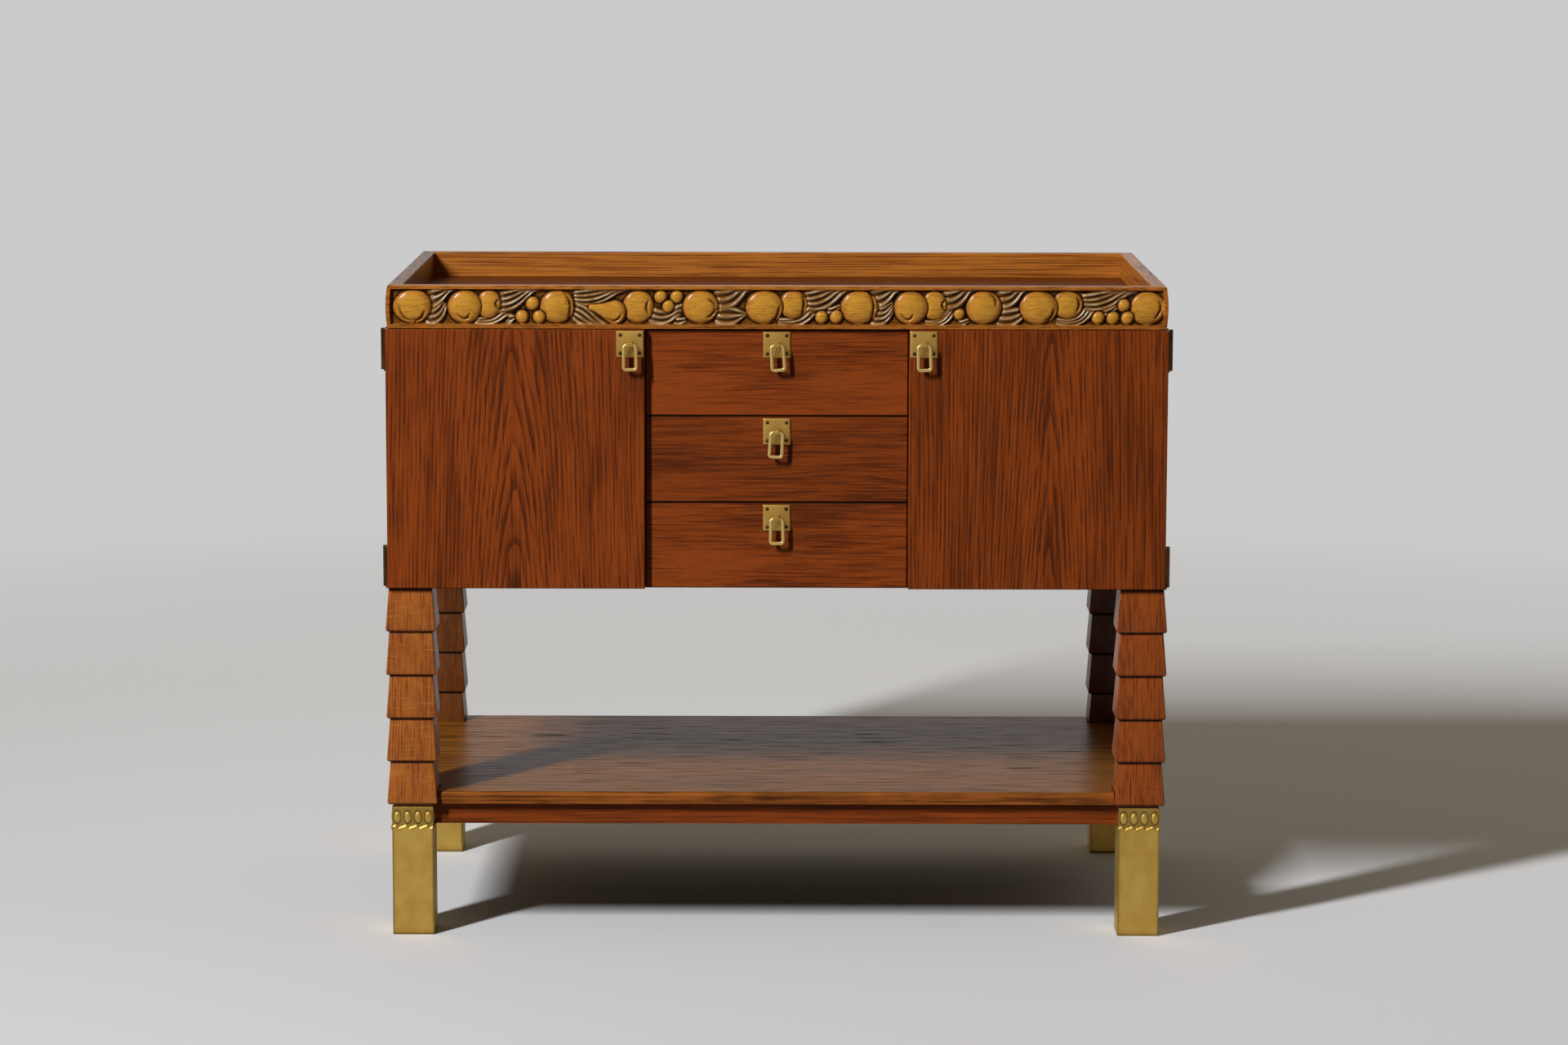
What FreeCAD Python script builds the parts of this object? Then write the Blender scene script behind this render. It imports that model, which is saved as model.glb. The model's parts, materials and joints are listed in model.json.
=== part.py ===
import FreeCAD, Part
import math
import os

# Side cabinet: a tray-topped case with two doors and three drawers on four stepped legs.
# Millimetres, +Z up, the front faces -Y, the origin is on the floor under the middle of the whole.

Vec = FreeCAD.Vector

# Whole cabinet
tray_length = 933.0
tray_depth = 530.0
overall_height = 795.0
body_centre_y = 8.0  # the pulls stand out in front, so the body's middle lies a little behind the origin

# Tray: four mitred rails round a floor
rail_height = 51.5
rail_thickness = 16.5
rail_lip = 9.0  # the rail's lower part, which covers the floor's edge
rail_bulge = 1.8  # the outer faces are gently convex
rail_round = 2.0
tray_floor_thickness = 20.0

# Carving of the front rail
field_border = 5.5
field_depth = 4.5
fruit_height = 5.0
back_fruit_height = 3.9
berry_height = 2.6
leaf_height = 3.4
leaf_spread = 13.0  # half the width over which a leaf would slope from its midrib to the ground
carving_sink = 0.8  # how far the carved forms reach into the ground
carving_repeat = 922.0  # length of the drawing below, which goes on from both its ends where there is room

# Places of the carving from the middle of the field: x, z, radius
fruits = [
    (-435.0, 0.0, 19.4),
    (-372.5, -0.4, 19.0),
    (-262.1, 0.0, 19.0),
    (-196.5, -5.0, 14.0),
    (-91.1, 0.0, 19.4),
    (-14.9, -0.2, 19.4),
    (98.4, 0.0, 19.4),
    (159.9, -0.4, 19.0),
    (246.9, 0.0, 19.4),
    (312.3, 0.0, 19.4),
    (439.5, 0.0, 19.4),
]
back_fruits = [
    (-345.5, 2.0, 15.0),
    (-168.0, 0.4, 17.6),
    (17.5, 2.2, 15.6),
    (187.0, 1.6, 15.0),
    (346.5, 2.6, 15.8),
]
berries = [
    (-291.4, 3.7, 7.9),
    (-304.1, -11.2, 7.6),
    (-283.6, -11.2, 7.6),
    (-138.6, 11.2, 7.6),
    (-119.5, 11.2, 7.6),
    (-129.3, 0.0, 7.6),
    (53.4, -11.0, 7.6),
    (71.0, -10.6, 7.8),
    (217.6, -7.8, 6.6),
    (413.9, 2.7, 7.6),
    (383.6, -11.2, 7.6),
    (401.2, -11.2, 7.6),
    (418.6, -11.2, 7.6),
]
# Leaves: root x, z, tip x, z, bulge of the upper side, bulge of the lower side
leaves = [
    (-413.5, 1.0, -386.0, 19.0, 7.0, -4.0),
    (-417.0, -17.0, -396.0, 4.0, 4.0, -8.5),
    (-327.6, 2.0, -288.0, 19.0, 6.0, -7.0),
    (-360.0, -15.5, -324.7, -4.0, -1.5, -8.0),
    (-241.6, 6.5, -178.0, 18.5, 3.5, -8.5),
    (-239.6, -6.0, -207.0, -18.5, 6.0, -6.0),
    (-151.7, -10.0, -111.0, 0.8, -2.0, -8.5),
    (-70.6, 6.6, -36.0, 19.0, 5.0, -8.0),
    (-70.6, -9.0, -36.4, -7.0, 6.5, -8.5),
    (37.8, 5.7, 88.0, 18.5, 4.0, -8.5),
    (4.6, -14.5, 45.6, -5.0, -1.5, -7.5),
    (121.8, 4.7, 150.5, 18.4, 4.0, -6.5),
    (118.9, -17.0, 136.5, 1.8, 4.0, -8.0),
    (202.9, 4.7, 236.5, 17.5, 4.5, -7.5),
    (178.5, -17.0, 208.8, -5.0, -1.5, -6.5),
    (268.4, 3.7, 295.0, 18.4, 4.0, -6.5),
    (264.5, -13.0, 292.8, -10.0, 7.5, -5.5),
    (369.0, 5.7, 426.0, 18.4, 4.0, -8.5),
    (332.0, -16.0, 375.8, -5.0, -1.5, -7.0),
]

# Case
case_overhang = 2.5  # the case stands out this far past each end of the tray
case_base_z = 428.0
side_thickness = 20.0
bottom_thickness = 18.0
divider_thickness = 18.0
divider_spacing = 316.0
back_thickness = 8.0
back_rebate = 10.0
housing_depth = 6.0
case_back_inset = 4.0  # the case ends this far in front of the tray's back edge

# Doors and fronts, which lie over the case's front edges
door_thickness = 19.7
door_proud = 4.3  # the door faces stand this far in front of the tray's edge
door_play = 0.3
front_gap = 1.0
front_bevel = 0.8
drawer_set_back = 10.0  # the drawer fronts lie this far behind the door faces

# Drawers
drawer_names = ("bottom", "middle", "top")
drawer_inner_thickness = 10.0  # the part of a drawer front that goes between the dividers
drawer_side_play = 0.8
drawer_side_thickness = 12.0
drawer_back_thickness = 12.0
drawer_bottom_thickness = 5.0
drawer_groove = 5.0
drawer_bottom_raise = 8.0
drawer_headroom = 6.0
drawer_end_room = 14.0
runner_width = 14.0
runner_height = 8.0
runner_set_back = 2.0
slide_play = 0.3

# Legs: stacked tiers that flare downwards
leg_inset_x = 27.0  # from the outside of the case to a leg's axis
leg_inset_y = 28.85  # from the tray's edge to a leg's axis
tier_count = 5
tier_top_width = 53.0
tier_bottom_width = 61.0
tier_bevel = 3.0
tenon_width = 20.0
tenon_length = 12.0

# Metal shoes on the legs' feet
shoe_height = 159.0
shoe_neck = 3.0  # bare wood between a shoe and the lowest tier
shoe_width = 50.3
shoe_wall = 1.8
shoe_floor = 2.0
shoe_play = 0.05
band_height = 133.0
band_width = 5.0
band_stand = 1.7
band_bevel = 1.2

# Lower shelf on aprons
shelf_thickness = 14.5
shelf_set_back = 4.5
shelf_round = 5.0
shelf_play = 0.3
apron_height = 26.0
apron_thickness = 15.0
apron_set_back = 13.5
apron_tenon_thickness = 8.0
apron_tenon_height = 14.0
apron_tenon_raise = 4.0
apron_tenon_length = 14.0

# Outside hinges, one at the top and one at the bottom of each door
hinge_height = 50.0
hinge_knuckles = 2  # a lift-off pair, with the door's knuckle on top
hinge_leaf_width = 18.0
hinge_leaf_thickness = 1.8
hinge_barrel_radius = 3.2
hinge_pin_radius = 1.5
hinge_axis_out = 3.5
knuckle_play = 0.3
pin_play = 0.08
leaf_play = 0.5

# Spring catches in the dividers' front edges
catch_width = 7.0
catch_height = 20.0
catch_length = 14.0
catch_bolt_width = 4.0
catch_bolt_height = 10.0
catch_bolt_stand = 0.9
catch_bolt_bevel = 0.7
catch_drop = 40.0
catch_edge = 1.2
catch_play = 0.4

# Pulls
plate_width = 33.0
plate_height = 32.0
plate_thickness = 2.2
plate_bevel = 1.2
plate_edge_gap = 1.0
plate_drop = 2.3
lug_width = 6.6
lug_height = 7.0
lug_bevel = 2.2
pivot_reach = 7.5
pivot_radius = 1.5
pivot_play = 0.08
loop_width = 19.5
loop_drop = 32.0
loop_strap = 3.8
loop_thickness = 3.4
loop_corner = 4.5
loop_rise = 2.4
stud_sides = 8
stud_head_radius = 2.2
stud_head_height = 1.2
stud_bevel = 0.8
stud_shank = 1.6
stud_length = 7.0
stud_inset = 5.0

# Places worked out from the sizes above
tray_half = tray_length / 2
tray_front_y = body_centre_y - tray_depth / 2
tray_back_y = body_centre_y + tray_depth / 2
rail_low_z = overall_height - rail_height
tray_floor_z = rail_low_z + tray_floor_thickness
case_half = tray_half + case_overhang
door_front_y = tray_front_y - door_proud
door_back_y = door_front_y + door_thickness
case_front_y = door_back_y + door_play
case_back_y = tray_back_y - case_back_inset
back_inner_y = case_back_y - back_thickness
side_inner_x = case_half - side_thickness
divider_x = divider_spacing / 2
bay_half = divider_x - divider_thickness / 2
bottom_top_z = case_base_z + bottom_thickness
front_low_z = case_base_z + front_gap
front_high_z = rail_low_z - front_gap
drawer_front_y = door_front_y + drawer_set_back
drawer_front_height = (front_high_z - front_low_z + front_gap) / len(drawer_names) - front_gap
drawer_lift = bottom_top_z - front_low_z + runner_height + slide_play
drawer_box_y = case_front_y + drawer_inner_thickness
drawer_end_y = back_inner_y - drawer_end_room
leg_x = case_half - leg_inset_x
leg_front_y = tray_front_y + leg_inset_y
leg_back_y = tray_back_y - leg_inset_y
shoe_half = shoe_width / 2
foot_half = shoe_half - shoe_wall - shoe_play
shelf_z = shoe_height + shoe_neck
hinge_x = case_half + hinge_axis_out
hinge_y = (door_back_y + case_front_y) / 2
catch_x = bay_half + divider_thickness - catch_width / 2 - catch_edge
catch_z = front_high_z - catch_drop
everywhere = 2000.0  # longer than the cabinet any way

pieces = {}


def block(x, y, z):
    """Box between the low and the high value of each pair."""
    return Part.makeBox(x[1] - x[0], y[1] - y[0], z[1] - z[0], Vec(x[0], y[0], z[0]))


def about(middle, width):
    """Low and high value of a width set about its middle."""
    return (middle - width / 2, middle + width / 2)


def mirrored(shape):
    """The same shape on the other side of the cabinet's middle plane."""
    return shape.mirror(Vec(0, 0, 0), Vec(1, 0, 0))


def line(start, end):
    return Part.LineSegment(start, end).toShape()


def arc(start, middle, end):
    return Part.Arc(start, middle, end).toShape()


def filled(edges):
    """Flat face inside a closed run of edges."""
    return Part.Face(Part.Wire(edges))


def polygon(points):
    """Flat face inside a closed run of points."""
    return Part.Face(Part.makePolygon(points + points[:1]))


def rounded(shape, radius, chosen):
    """Fillet the edges whose middle point passes the test."""
    edges = [edge for edge in shape.Edges if chosen(edge.CenterOfMass)]
    return shape.makeFillet(radius, edges)


def bevelled(shape, size, chosen):
    """Chamfer the edges whose middle point passes the test."""
    edges = [edge for edge in shape.Edges if chosen(edge.CenterOfMass)]
    return shape.makeChamfer(size, edges)


def near(value, target):
    return abs(value - target) < 0.01


def softened_front(shape, front_y):
    """Break the edges round a board's front face."""
    return bevelled(shape, front_bevel, lambda middle: near(middle.y, front_y))


def rail_section(place):
    """Section of a gallery rail; place turns a depth behind the outer face and a height into a point."""
    corner = rail_round * (1 - math.sqrt(0.5))
    top = overall_height
    shoulder = top - rail_round
    inner = rail_thickness
    return filled(
        [
            arc(place(0, rail_low_z), place(-rail_bulge, (rail_low_z + shoulder) / 2), place(0, shoulder)),
            arc(place(0, shoulder), place(corner, top - corner), place(rail_round, top)),
            line(place(rail_round, top), place(inner - rail_round, top)),
            arc(place(inner - rail_round, top), place(inner - corner, top - corner), place(inner, shoulder)),
            line(place(inner, shoulder), place(inner, tray_floor_z)),
            line(place(inner, tray_floor_z), place(rail_lip, tray_floor_z)),
            line(place(rail_lip, tray_floor_z), place(rail_lip, rail_low_z)),
            line(place(rail_lip, rail_low_z), place(0, rail_low_z)),
        ]
    )


def mitred(rail, corners):
    """Cut a rail's ends to the mitre that the four corners of its plan give."""
    plan = polygon([Vec(x, y, 0) for x, y in corners])
    return rail.common(plan.extrude(Vec(0, 0, everywhere)))


def end_rail():
    """Gallery rail at the right end of the tray."""
    section = rail_section(lambda depth, z: Vec(tray_half - depth, -everywhere / 2, z))
    out = rail_bulge + rail_thickness
    return mitred(
        section.extrude(Vec(0, everywhere, 0)),
        [
            (tray_half + out, tray_front_y - out),
            (tray_half + out, tray_back_y + out),
            (tray_half - rail_thickness, tray_back_y - rail_thickness),
            (tray_half - rail_thickness, tray_front_y + rail_thickness),
        ],
    )


def long_rail(outer_y, inward):
    """Front or back gallery rail; inward is +1 at the front and -1 at the back."""
    section = rail_section(lambda depth, z: Vec(-everywhere / 2, outer_y + inward * depth, z))
    out = rail_bulge + rail_thickness
    outer_half = tray_half + out
    inner_half = tray_half - rail_thickness
    return mitred(
        section.extrude(Vec(everywhere, 0, 0)),
        [
            (-outer_half, outer_y - inward * out),
            (outer_half, outer_y - inward * out),
            (inner_half, outer_y + inward * rail_thickness),
            (-inner_half, outer_y + inward * rail_thickness),
        ],
    )


def dome(x, y, z, radius, height):
    """Low round dome that stands out from the plane at y."""
    sphere_radius = (radius**2 + height**2) / (2 * height)
    ball = Part.makeSphere(sphere_radius, Vec(x, y - height + sphere_radius, z))
    return ball.common(block(about(x, everywhere), (y - everywhere, y), about(z, everywhere)))


def carved_leaf(root, tip, upper, lower, ground_y):
    """Leaf with two curved sides that slope down from a midrib."""
    chord = tip - root
    across = Vec(-chord.z, 0, chord.x).normalize()
    middle = (root + tip) / 2
    outline = filled([arc(root, middle + across * upper, tip), arc(tip, middle + across * lower, root)])
    rise = Vec(0, ground_y - leaf_height - root.y, 0)
    spine = middle + across * ((upper + lower) / 2) - chord
    roof = polygon([spine + rise, spine + across * leaf_spread, spine - across * leaf_spread])
    return outline.extrude(rise).common(roof.extrude(chord * 2))


def carved_rail():
    """Front rail with fruit, berries and leaves standing in a sunk field."""
    ground_y = tray_front_y + field_depth
    field_half = tray_half - field_border
    field_z = (rail_low_z + field_border, overall_height - field_border)
    centre_z = sum(field_z) / 2
    field = block((-field_half, field_half), (tray_front_y - everywhere, ground_y), field_z)
    sunk_y = ground_y + carving_sink
    forms = []
    for shift in (-carving_repeat, 0, carving_repeat):
        for group, height in ((fruits, fruit_height), (back_fruits, back_fruit_height), (berries, berry_height)):
            for x, z, radius in group:
                if abs(x + shift) + radius < field_half:
                    forms.append(dome(x + shift, sunk_y, centre_z + z, radius, height + carving_sink))
        for root_x, root_z, tip_x, tip_z, upper, lower in leaves:
            if max(abs(root_x + shift), abs(tip_x + shift)) < field_half:
                root = Vec(root_x + shift, sunk_y, centre_z + root_z)
                tip = Vec(tip_x + shift, sunk_y, centre_z + tip_z)
                forms.append(carved_leaf(root, tip, upper, lower, ground_y))
    return long_rail(tray_front_y, 1).cut(field).multiFuse(forms)


def tray():
    pieces["carved_front_rail"] = carved_rail()
    pieces["gallery_rail_back"] = long_rail(tray_back_y, -1)
    pieces["gallery_rail_right"] = end_rail()
    pieces["gallery_rail_left"] = mirrored(end_rail())
    floor_half = tray_half - rail_lip
    floor_y = (tray_front_y + rail_lip, tray_back_y - rail_lip)
    pieces["tray_floor"] = block((-floor_half, floor_half), floor_y, (rail_low_z, tray_floor_z))


def case():
    """Bottom and back let into the sides, dividers let into the bottom and the tray floor."""
    bottom_half = side_inner_x + housing_depth
    case_z = (case_base_z, rail_low_z)
    bottom = block((-bottom_half, bottom_half), (case_front_y, back_inner_y), (case_base_z, bottom_top_z))
    back_half = side_inner_x + back_rebate
    back = block((-back_half, back_half), (back_inner_y, case_back_y), case_z)
    side = block((side_inner_x, case_half), (case_front_y, case_back_y), case_z).cut([bottom, back])
    divider_z = (bottom_top_z - housing_depth, rail_low_z + housing_depth)
    divider = block(about(divider_x, divider_thickness), (case_front_y, back_inner_y), divider_z)
    housed = [divider, mirrored(divider)]
    pieces["case_bottom"] = bottom.cut(housed)
    pieces["back_panel"] = back
    pieces["side_panel_right"] = side
    pieces["side_panel_left"] = mirrored(side)
    pieces["tray_floor"] = pieces["tray_floor"].cut(housed)
    pieces["divider_right"] = divider.cut(catch())
    pieces["divider_left"] = mirrored(pieces["divider_right"])
    pieces["door_catches"] = Part.makeCompound([catch(), mirrored(catch())])


def catch_tip(play):
    """Bevelled bolt of the right catch, or with play the hollow that it springs into."""
    width = catch_bolt_width + 2 * play
    front_y = case_front_y - catch_bolt_stand - play
    bolt = block(about(catch_x, width), (front_y, case_front_y), about(catch_z, catch_bolt_height + 2 * play))
    return bevelled(bolt, catch_bolt_bevel, lambda middle: near(middle.y, front_y))


def catch():
    """Spring catch let into the right divider's front edge."""
    case_y = (case_front_y, case_front_y + catch_length)
    return block(about(catch_x, catch_width), case_y, about(catch_z, catch_height)).fuse(catch_tip(0))


def tier_outline(low, high, place):
    """Outline of one tier of a leg; place turns a distance from the leg's axis and a height into a point."""
    top_half = tier_top_width / 2
    bottom_half = tier_bottom_width / 2
    flank_half = bottom_half - (bottom_half - top_half) * tier_bevel / (high - low)
    half = [(top_half, high), (flank_half, low + tier_bevel), (bottom_half - tier_bevel, low)]
    return polygon([place(out, z) for out, z in half] + [place(-out, z) for out, z in reversed(half)])


def leg(x, y):
    """Square leg of stacked tiers that look the same from the front and from the side."""
    pitch = (case_base_z - shelf_z) / tier_count
    reach = tier_bottom_width
    stack = []
    for tier in range(tier_count):
        span = (shelf_z + tier * pitch, shelf_z + (tier + 1) * pitch)
        front = tier_outline(*span, lambda out, z: Vec(out, -reach, z)).extrude(Vec(0, 2 * reach, 0))
        side = tier_outline(*span, lambda out, z: Vec(-reach, out, z)).extrude(Vec(2 * reach, 0, 0))
        stack.append(front.common(side))
    tenon = about(0, tenon_width)
    stack.append(block(tenon, tenon, (case_base_z, case_base_z + tenon_length)))
    foot = about(0, 2 * foot_half)
    return block(foot, foot, (shoe_floor, shelf_z)).multiFuse(stack).translated(Vec(x, y, 0))


def shoe(x, y):
    """Metal sleeve with a closed sole and a raised band under its ornament."""
    sleeve = block(about(x, shoe_width), about(y, shoe_width), (0, shoe_height))
    outer = shoe_width + 2 * band_stand
    band_z = about(band_height, band_width)
    band = block(about(x, outer), about(y, outer), band_z)
    band = bevelled(band, band_bevel, lambda middle: any(near(middle.z, z) for z in band_z))
    inside = 2 * (shoe_half - shoe_wall)
    return sleeve.fuse(band).cut(block(about(x, inside), about(y, inside), (shoe_floor, everywhere)))


def aprons():
    """Four rails between the shoes, each with a tenon at both ends."""
    low = shelf_z - apron_height
    tall = (low, shelf_z)
    tenon_z = (low + apron_tenon_raise, low + apron_tenon_raise + apron_tenon_height)
    clear_x = leg_x - shoe_half
    reach_x = clear_x + apron_tenon_length
    clear_y = (leg_front_y + shoe_half, leg_back_y - shoe_half)
    reach_y = (clear_y[0] - apron_tenon_length, clear_y[1] + apron_tenon_length)
    inset = shoe_half - apron_set_back - apron_thickness / 2
    made = {}
    for name, middle in (("front", leg_front_y - inset), ("back", leg_back_y + inset)):
        rail = block((-clear_x, clear_x), about(middle, apron_thickness), tall)
        made[name] = rail.fuse(block((-reach_x, reach_x), about(middle, apron_tenon_thickness), tenon_z))
    for name, middle in (("left", -leg_x - inset), ("right", leg_x + inset)):
        rail = block(about(middle, apron_thickness), clear_y, tall)
        made[name] = rail.fuse(block(about(middle, apron_tenon_thickness), reach_y, tenon_z))
    return made


def base():
    """Legs, shoes, aprons and the lower shelf."""
    rails = aprons()
    for name, shape in rails.items():
        pieces["apron_" + name] = shape
    edge = shoe_half - shelf_set_back
    shelf_x = (-leg_x - edge, leg_x + edge)
    shelf_y = (leg_front_y - edge, leg_back_y + edge)
    shelf = block(shelf_x, shelf_y, (shelf_z, shelf_z + shelf_thickness))
    notch = tier_bottom_width + 2 * shelf_play
    for end, y in (("front", leg_front_y), ("back", leg_back_y)):
        for side, x in (("left", -leg_x), ("right", leg_x)):
            wood = leg(x, y)
            pieces["case_bottom"] = pieces["case_bottom"].cut(wood)
            pieces[f"leg_{end}_{side}"] = wood.cut(list(rails.values()))
            pieces[f"shoe_{end}_{side}"] = shoe(x, y).cut(list(rails.values()))
            shelf = shelf.cut(block(about(x, notch), about(y, notch), (0, everywhere)))

    def on_rim(middle):
        on_edge = any(near(middle.x, x) for x in shelf_x) or any(near(middle.y, y) for y in shelf_y)
        return on_edge and near(middle.z, shelf_z + shelf_thickness)

    pieces["lower_shelf"] = rounded(shelf, shelf_round, on_rim)


def stud(x, y, z):
    """Pin with a many-sided, bevelled head on the plane at y and a square shank behind it."""
    turns = [(side + 0.5) * 2 * math.pi / stud_sides for side in range(stud_sides)]
    reach = stud_head_radius
    outline = polygon([Vec(x + reach * math.cos(turn), y, z + reach * math.sin(turn)) for turn in turns])
    crown_y = y - stud_head_height
    head = outline.extrude(Vec(0, -stud_head_height, 0))
    head = bevelled(head, stud_bevel, lambda middle: near(middle.y, crown_y))
    return head.fuse(block(about(x, stud_shank), (y, y + stud_length), about(z, stud_shank)))


def pull(name, x, top_z, face_y, body):
    """Plate with a lug, four studs and a hanging loop; returns the body with the stud holes."""
    plate_y = face_y - plate_thickness
    plate_z = (top_z - plate_height, top_z)
    plate = block(about(x, plate_width), (plate_y, face_y), plate_z)
    plate = bevelled(plate, plate_bevel, lambda middle: near(middle.y, plate_y))
    pivot = Vec(x, plate_y - pivot_reach, sum(plate_z) / 2)
    lug_x = about(x, lug_width)
    nose_y = pivot.y - lug_height / 2
    lug = block(lug_x, (nose_y, plate_y), about(pivot.z, lug_height))
    lug = bevelled(lug, lug_bevel, lambda middle: near(middle.y, nose_y) and near(middle.x, x))
    eye_start = Vec(lug_x[0], pivot.y, pivot.z)
    eye = Part.makeCylinder(pivot_radius + pivot_play, lug_width, eye_start, Vec(1, 0, 0))
    studs = []
    for stud_x in about(x, plate_width - 2 * stud_inset):
        for stud_z in about(pivot.z, plate_height - 2 * stud_inset):
            studs.append(stud(stud_x, plate_y, stud_z))
    pieces["pull_plate_" + name] = plate.fuse(lug).cut([eye] + studs)
    pieces["pull_studs_" + name] = Part.makeCompound(studs)
    pieces["pull_loop_" + name] = loop(pivot)
    return body.cut(studs)


def loop(pivot):
    """Rectangular loop whose round top bar turns in the lug's eye."""
    low = pivot.z - loop_drop
    high = pivot.z + loop_rise
    thick = about(pivot.y, loop_thickness)
    outer_x = about(pivot.x, loop_width)
    outer = block(outer_x, thick, (low, high))
    outer = rounded(outer, loop_corner, lambda middle: near(middle.y, pivot.y) and near(middle.z, low))
    opening_x = about(pivot.x, loop_width - 2 * loop_strap)
    inner_low = low + loop_strap
    opening = block(opening_x, thick, (inner_low, high + loop_strap))
    bar_start = Vec(outer_x[0] + loop_strap / 2, pivot.y, pivot.z)
    bar = Part.makeCylinder(pivot_radius, loop_width - loop_strap, bar_start, Vec(1, 0, 0))
    return outer.cut(opening).fuse(bar)


def hinge(low):
    """Case leaf, door leaf and pin of a right-hand hinge whose lower end is at low."""
    leaf_x = (case_half, case_half + hinge_leaf_thickness)
    clear = hinge_barrel_radius + leaf_play
    height = (low, low + hinge_height)
    leaf_y = {
        "case": ((hinge_y + clear, hinge_y + hinge_leaf_width), (hinge_y, hinge_y + clear)),
        "door": ((hinge_y - hinge_leaf_width, hinge_y - clear), (hinge_y - clear, hinge_y)),
    }
    bore_radius = {"case": hinge_pin_radius, "door": hinge_pin_radius + pin_play}
    step = hinge_height / hinge_knuckles
    made = []
    for index, owner in enumerate(("case", "door")):
        plate_y, tab_y = leaf_y[owner]
        leaf = block(leaf_x, plate_y, height)
        for knuckle in range(index, hinge_knuckles, 2):
            start = low + knuckle * step + knuckle_play / 2
            barrel_height = step - knuckle_play
            tab = block(leaf_x, tab_y, (start, start + barrel_height))
            barrel = Part.makeCylinder(hinge_barrel_radius, barrel_height, Vec(hinge_x, hinge_y, start))
            leaf = leaf.multiFuse([tab, barrel])
        bore = Part.makeCylinder(bore_radius[owner], everywhere, Vec(hinge_x, hinge_y, 0))
        made.append(leaf.cut(bore).removeSplitter())
    made.append(Part.makeCylinder(hinge_pin_radius, hinge_height, Vec(hinge_x, hinge_y, low)))
    return made


def hinges():
    """Two hinges a door, their like leaves and pins kept together."""
    pairs = list(zip(hinge(front_low_z), hinge(front_high_z - hinge_height)))
    for name, shapes in zip(("hinge_case_leaves", "hinge_door_leaves", "hinge_pins"), pairs):
        group = Part.makeCompound(list(shapes))
        if name == "hinge_pins":
            pieces[name] = Part.makeCompound(list(shapes) + [mirrored(shape) for shape in shapes])
        else:
            pieces[name + "_right"] = group
            pieces[name + "_left"] = mirrored(group)


def doors():
    inner_x = divider_x + front_gap / 2
    panel = block((inner_x, case_half), (door_front_y, door_back_y), (front_low_z, front_high_z))
    panel = softened_front(panel, door_front_y)
    panel = panel.cut(catch_tip(catch_play))
    plate_x = inner_x + plate_edge_gap + plate_width / 2
    top_z = front_high_z - plate_edge_gap
    pieces["door_panel_right"] = pull("door_right", plate_x, top_z, door_front_y, panel)
    pieces["door_panel_left"] = pull("door_left", -plate_x, top_z, door_front_y, mirrored(panel))


def drawers():
    """Three drawers on runners, each with a front that laps over the dividers."""
    lip_half = divider_x - front_gap / 2
    box_half = bay_half - drawer_side_play
    inner_half = box_half - drawer_side_thickness
    panel_half = inner_half + drawer_groove
    runner_y = (drawer_box_y + runner_set_back, back_inner_y)
    runners = []
    for index, name in enumerate(drawer_names):
        low = front_low_z + index * (drawer_front_height + front_gap)
        high = low + drawer_front_height
        box_z = (low + drawer_lift, high - drawer_headroom)
        lip = block((-lip_half, lip_half), (drawer_front_y, case_front_y - door_play), (low, high))
        lip = softened_front(lip, drawer_front_y)
        front = lip.fuse(block((-box_half, box_half), (case_front_y - door_play, drawer_box_y), box_z))
        side = block((inner_half, box_half), (drawer_box_y, drawer_end_y), box_z)
        panel_z = (box_z[0] + drawer_bottom_raise, box_z[0] + drawer_bottom_raise + drawer_bottom_thickness)
        panel = block((-panel_half, panel_half), (drawer_box_y - drawer_groove, drawer_end_y), panel_z)
        back_y = (drawer_end_y - drawer_back_thickness, drawer_end_y)
        pieces["drawer_back_" + name] = block((-inner_half, inner_half), back_y, (panel_z[1], box_z[1]))
        pieces["drawer_bottom_" + name] = panel
        side = side.cut(panel)
        pieces["drawer_sides_" + name] = Part.makeCompound([side, mirrored(side)])
        top_z = high - plate_drop
        front = pull("drawer_" + name, 0, top_z, drawer_front_y, front.cut(panel))
        pieces["drawer_front_" + name] = front
        runner_z = (box_z[0] - slide_play - runner_height, box_z[0] - slide_play)
        runner = block((bay_half - runner_width, bay_half), runner_y, runner_z)
        runners += [runner, mirrored(runner)]
    pieces["drawer_runners"] = Part.makeCompound(runners)


tray()
case()
base()
hinges()
doors()
drawers()

os.makedirs("parts", exist_ok=True)
for node, shape in pieces.items():
    if not shape.isValid() or not shape.Solids:
        raise ValueError(node + " is not a sound solid")
    shape.exportStep(f"parts/{node}.step")
print(len(pieces), "pieces")
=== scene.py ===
"""Looks of a tray-topped side cabinet: oak boards, a carved rail, stepped legs, brass and a plain stage."""

import cmath
import json
import math
from dataclasses import dataclass

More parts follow.
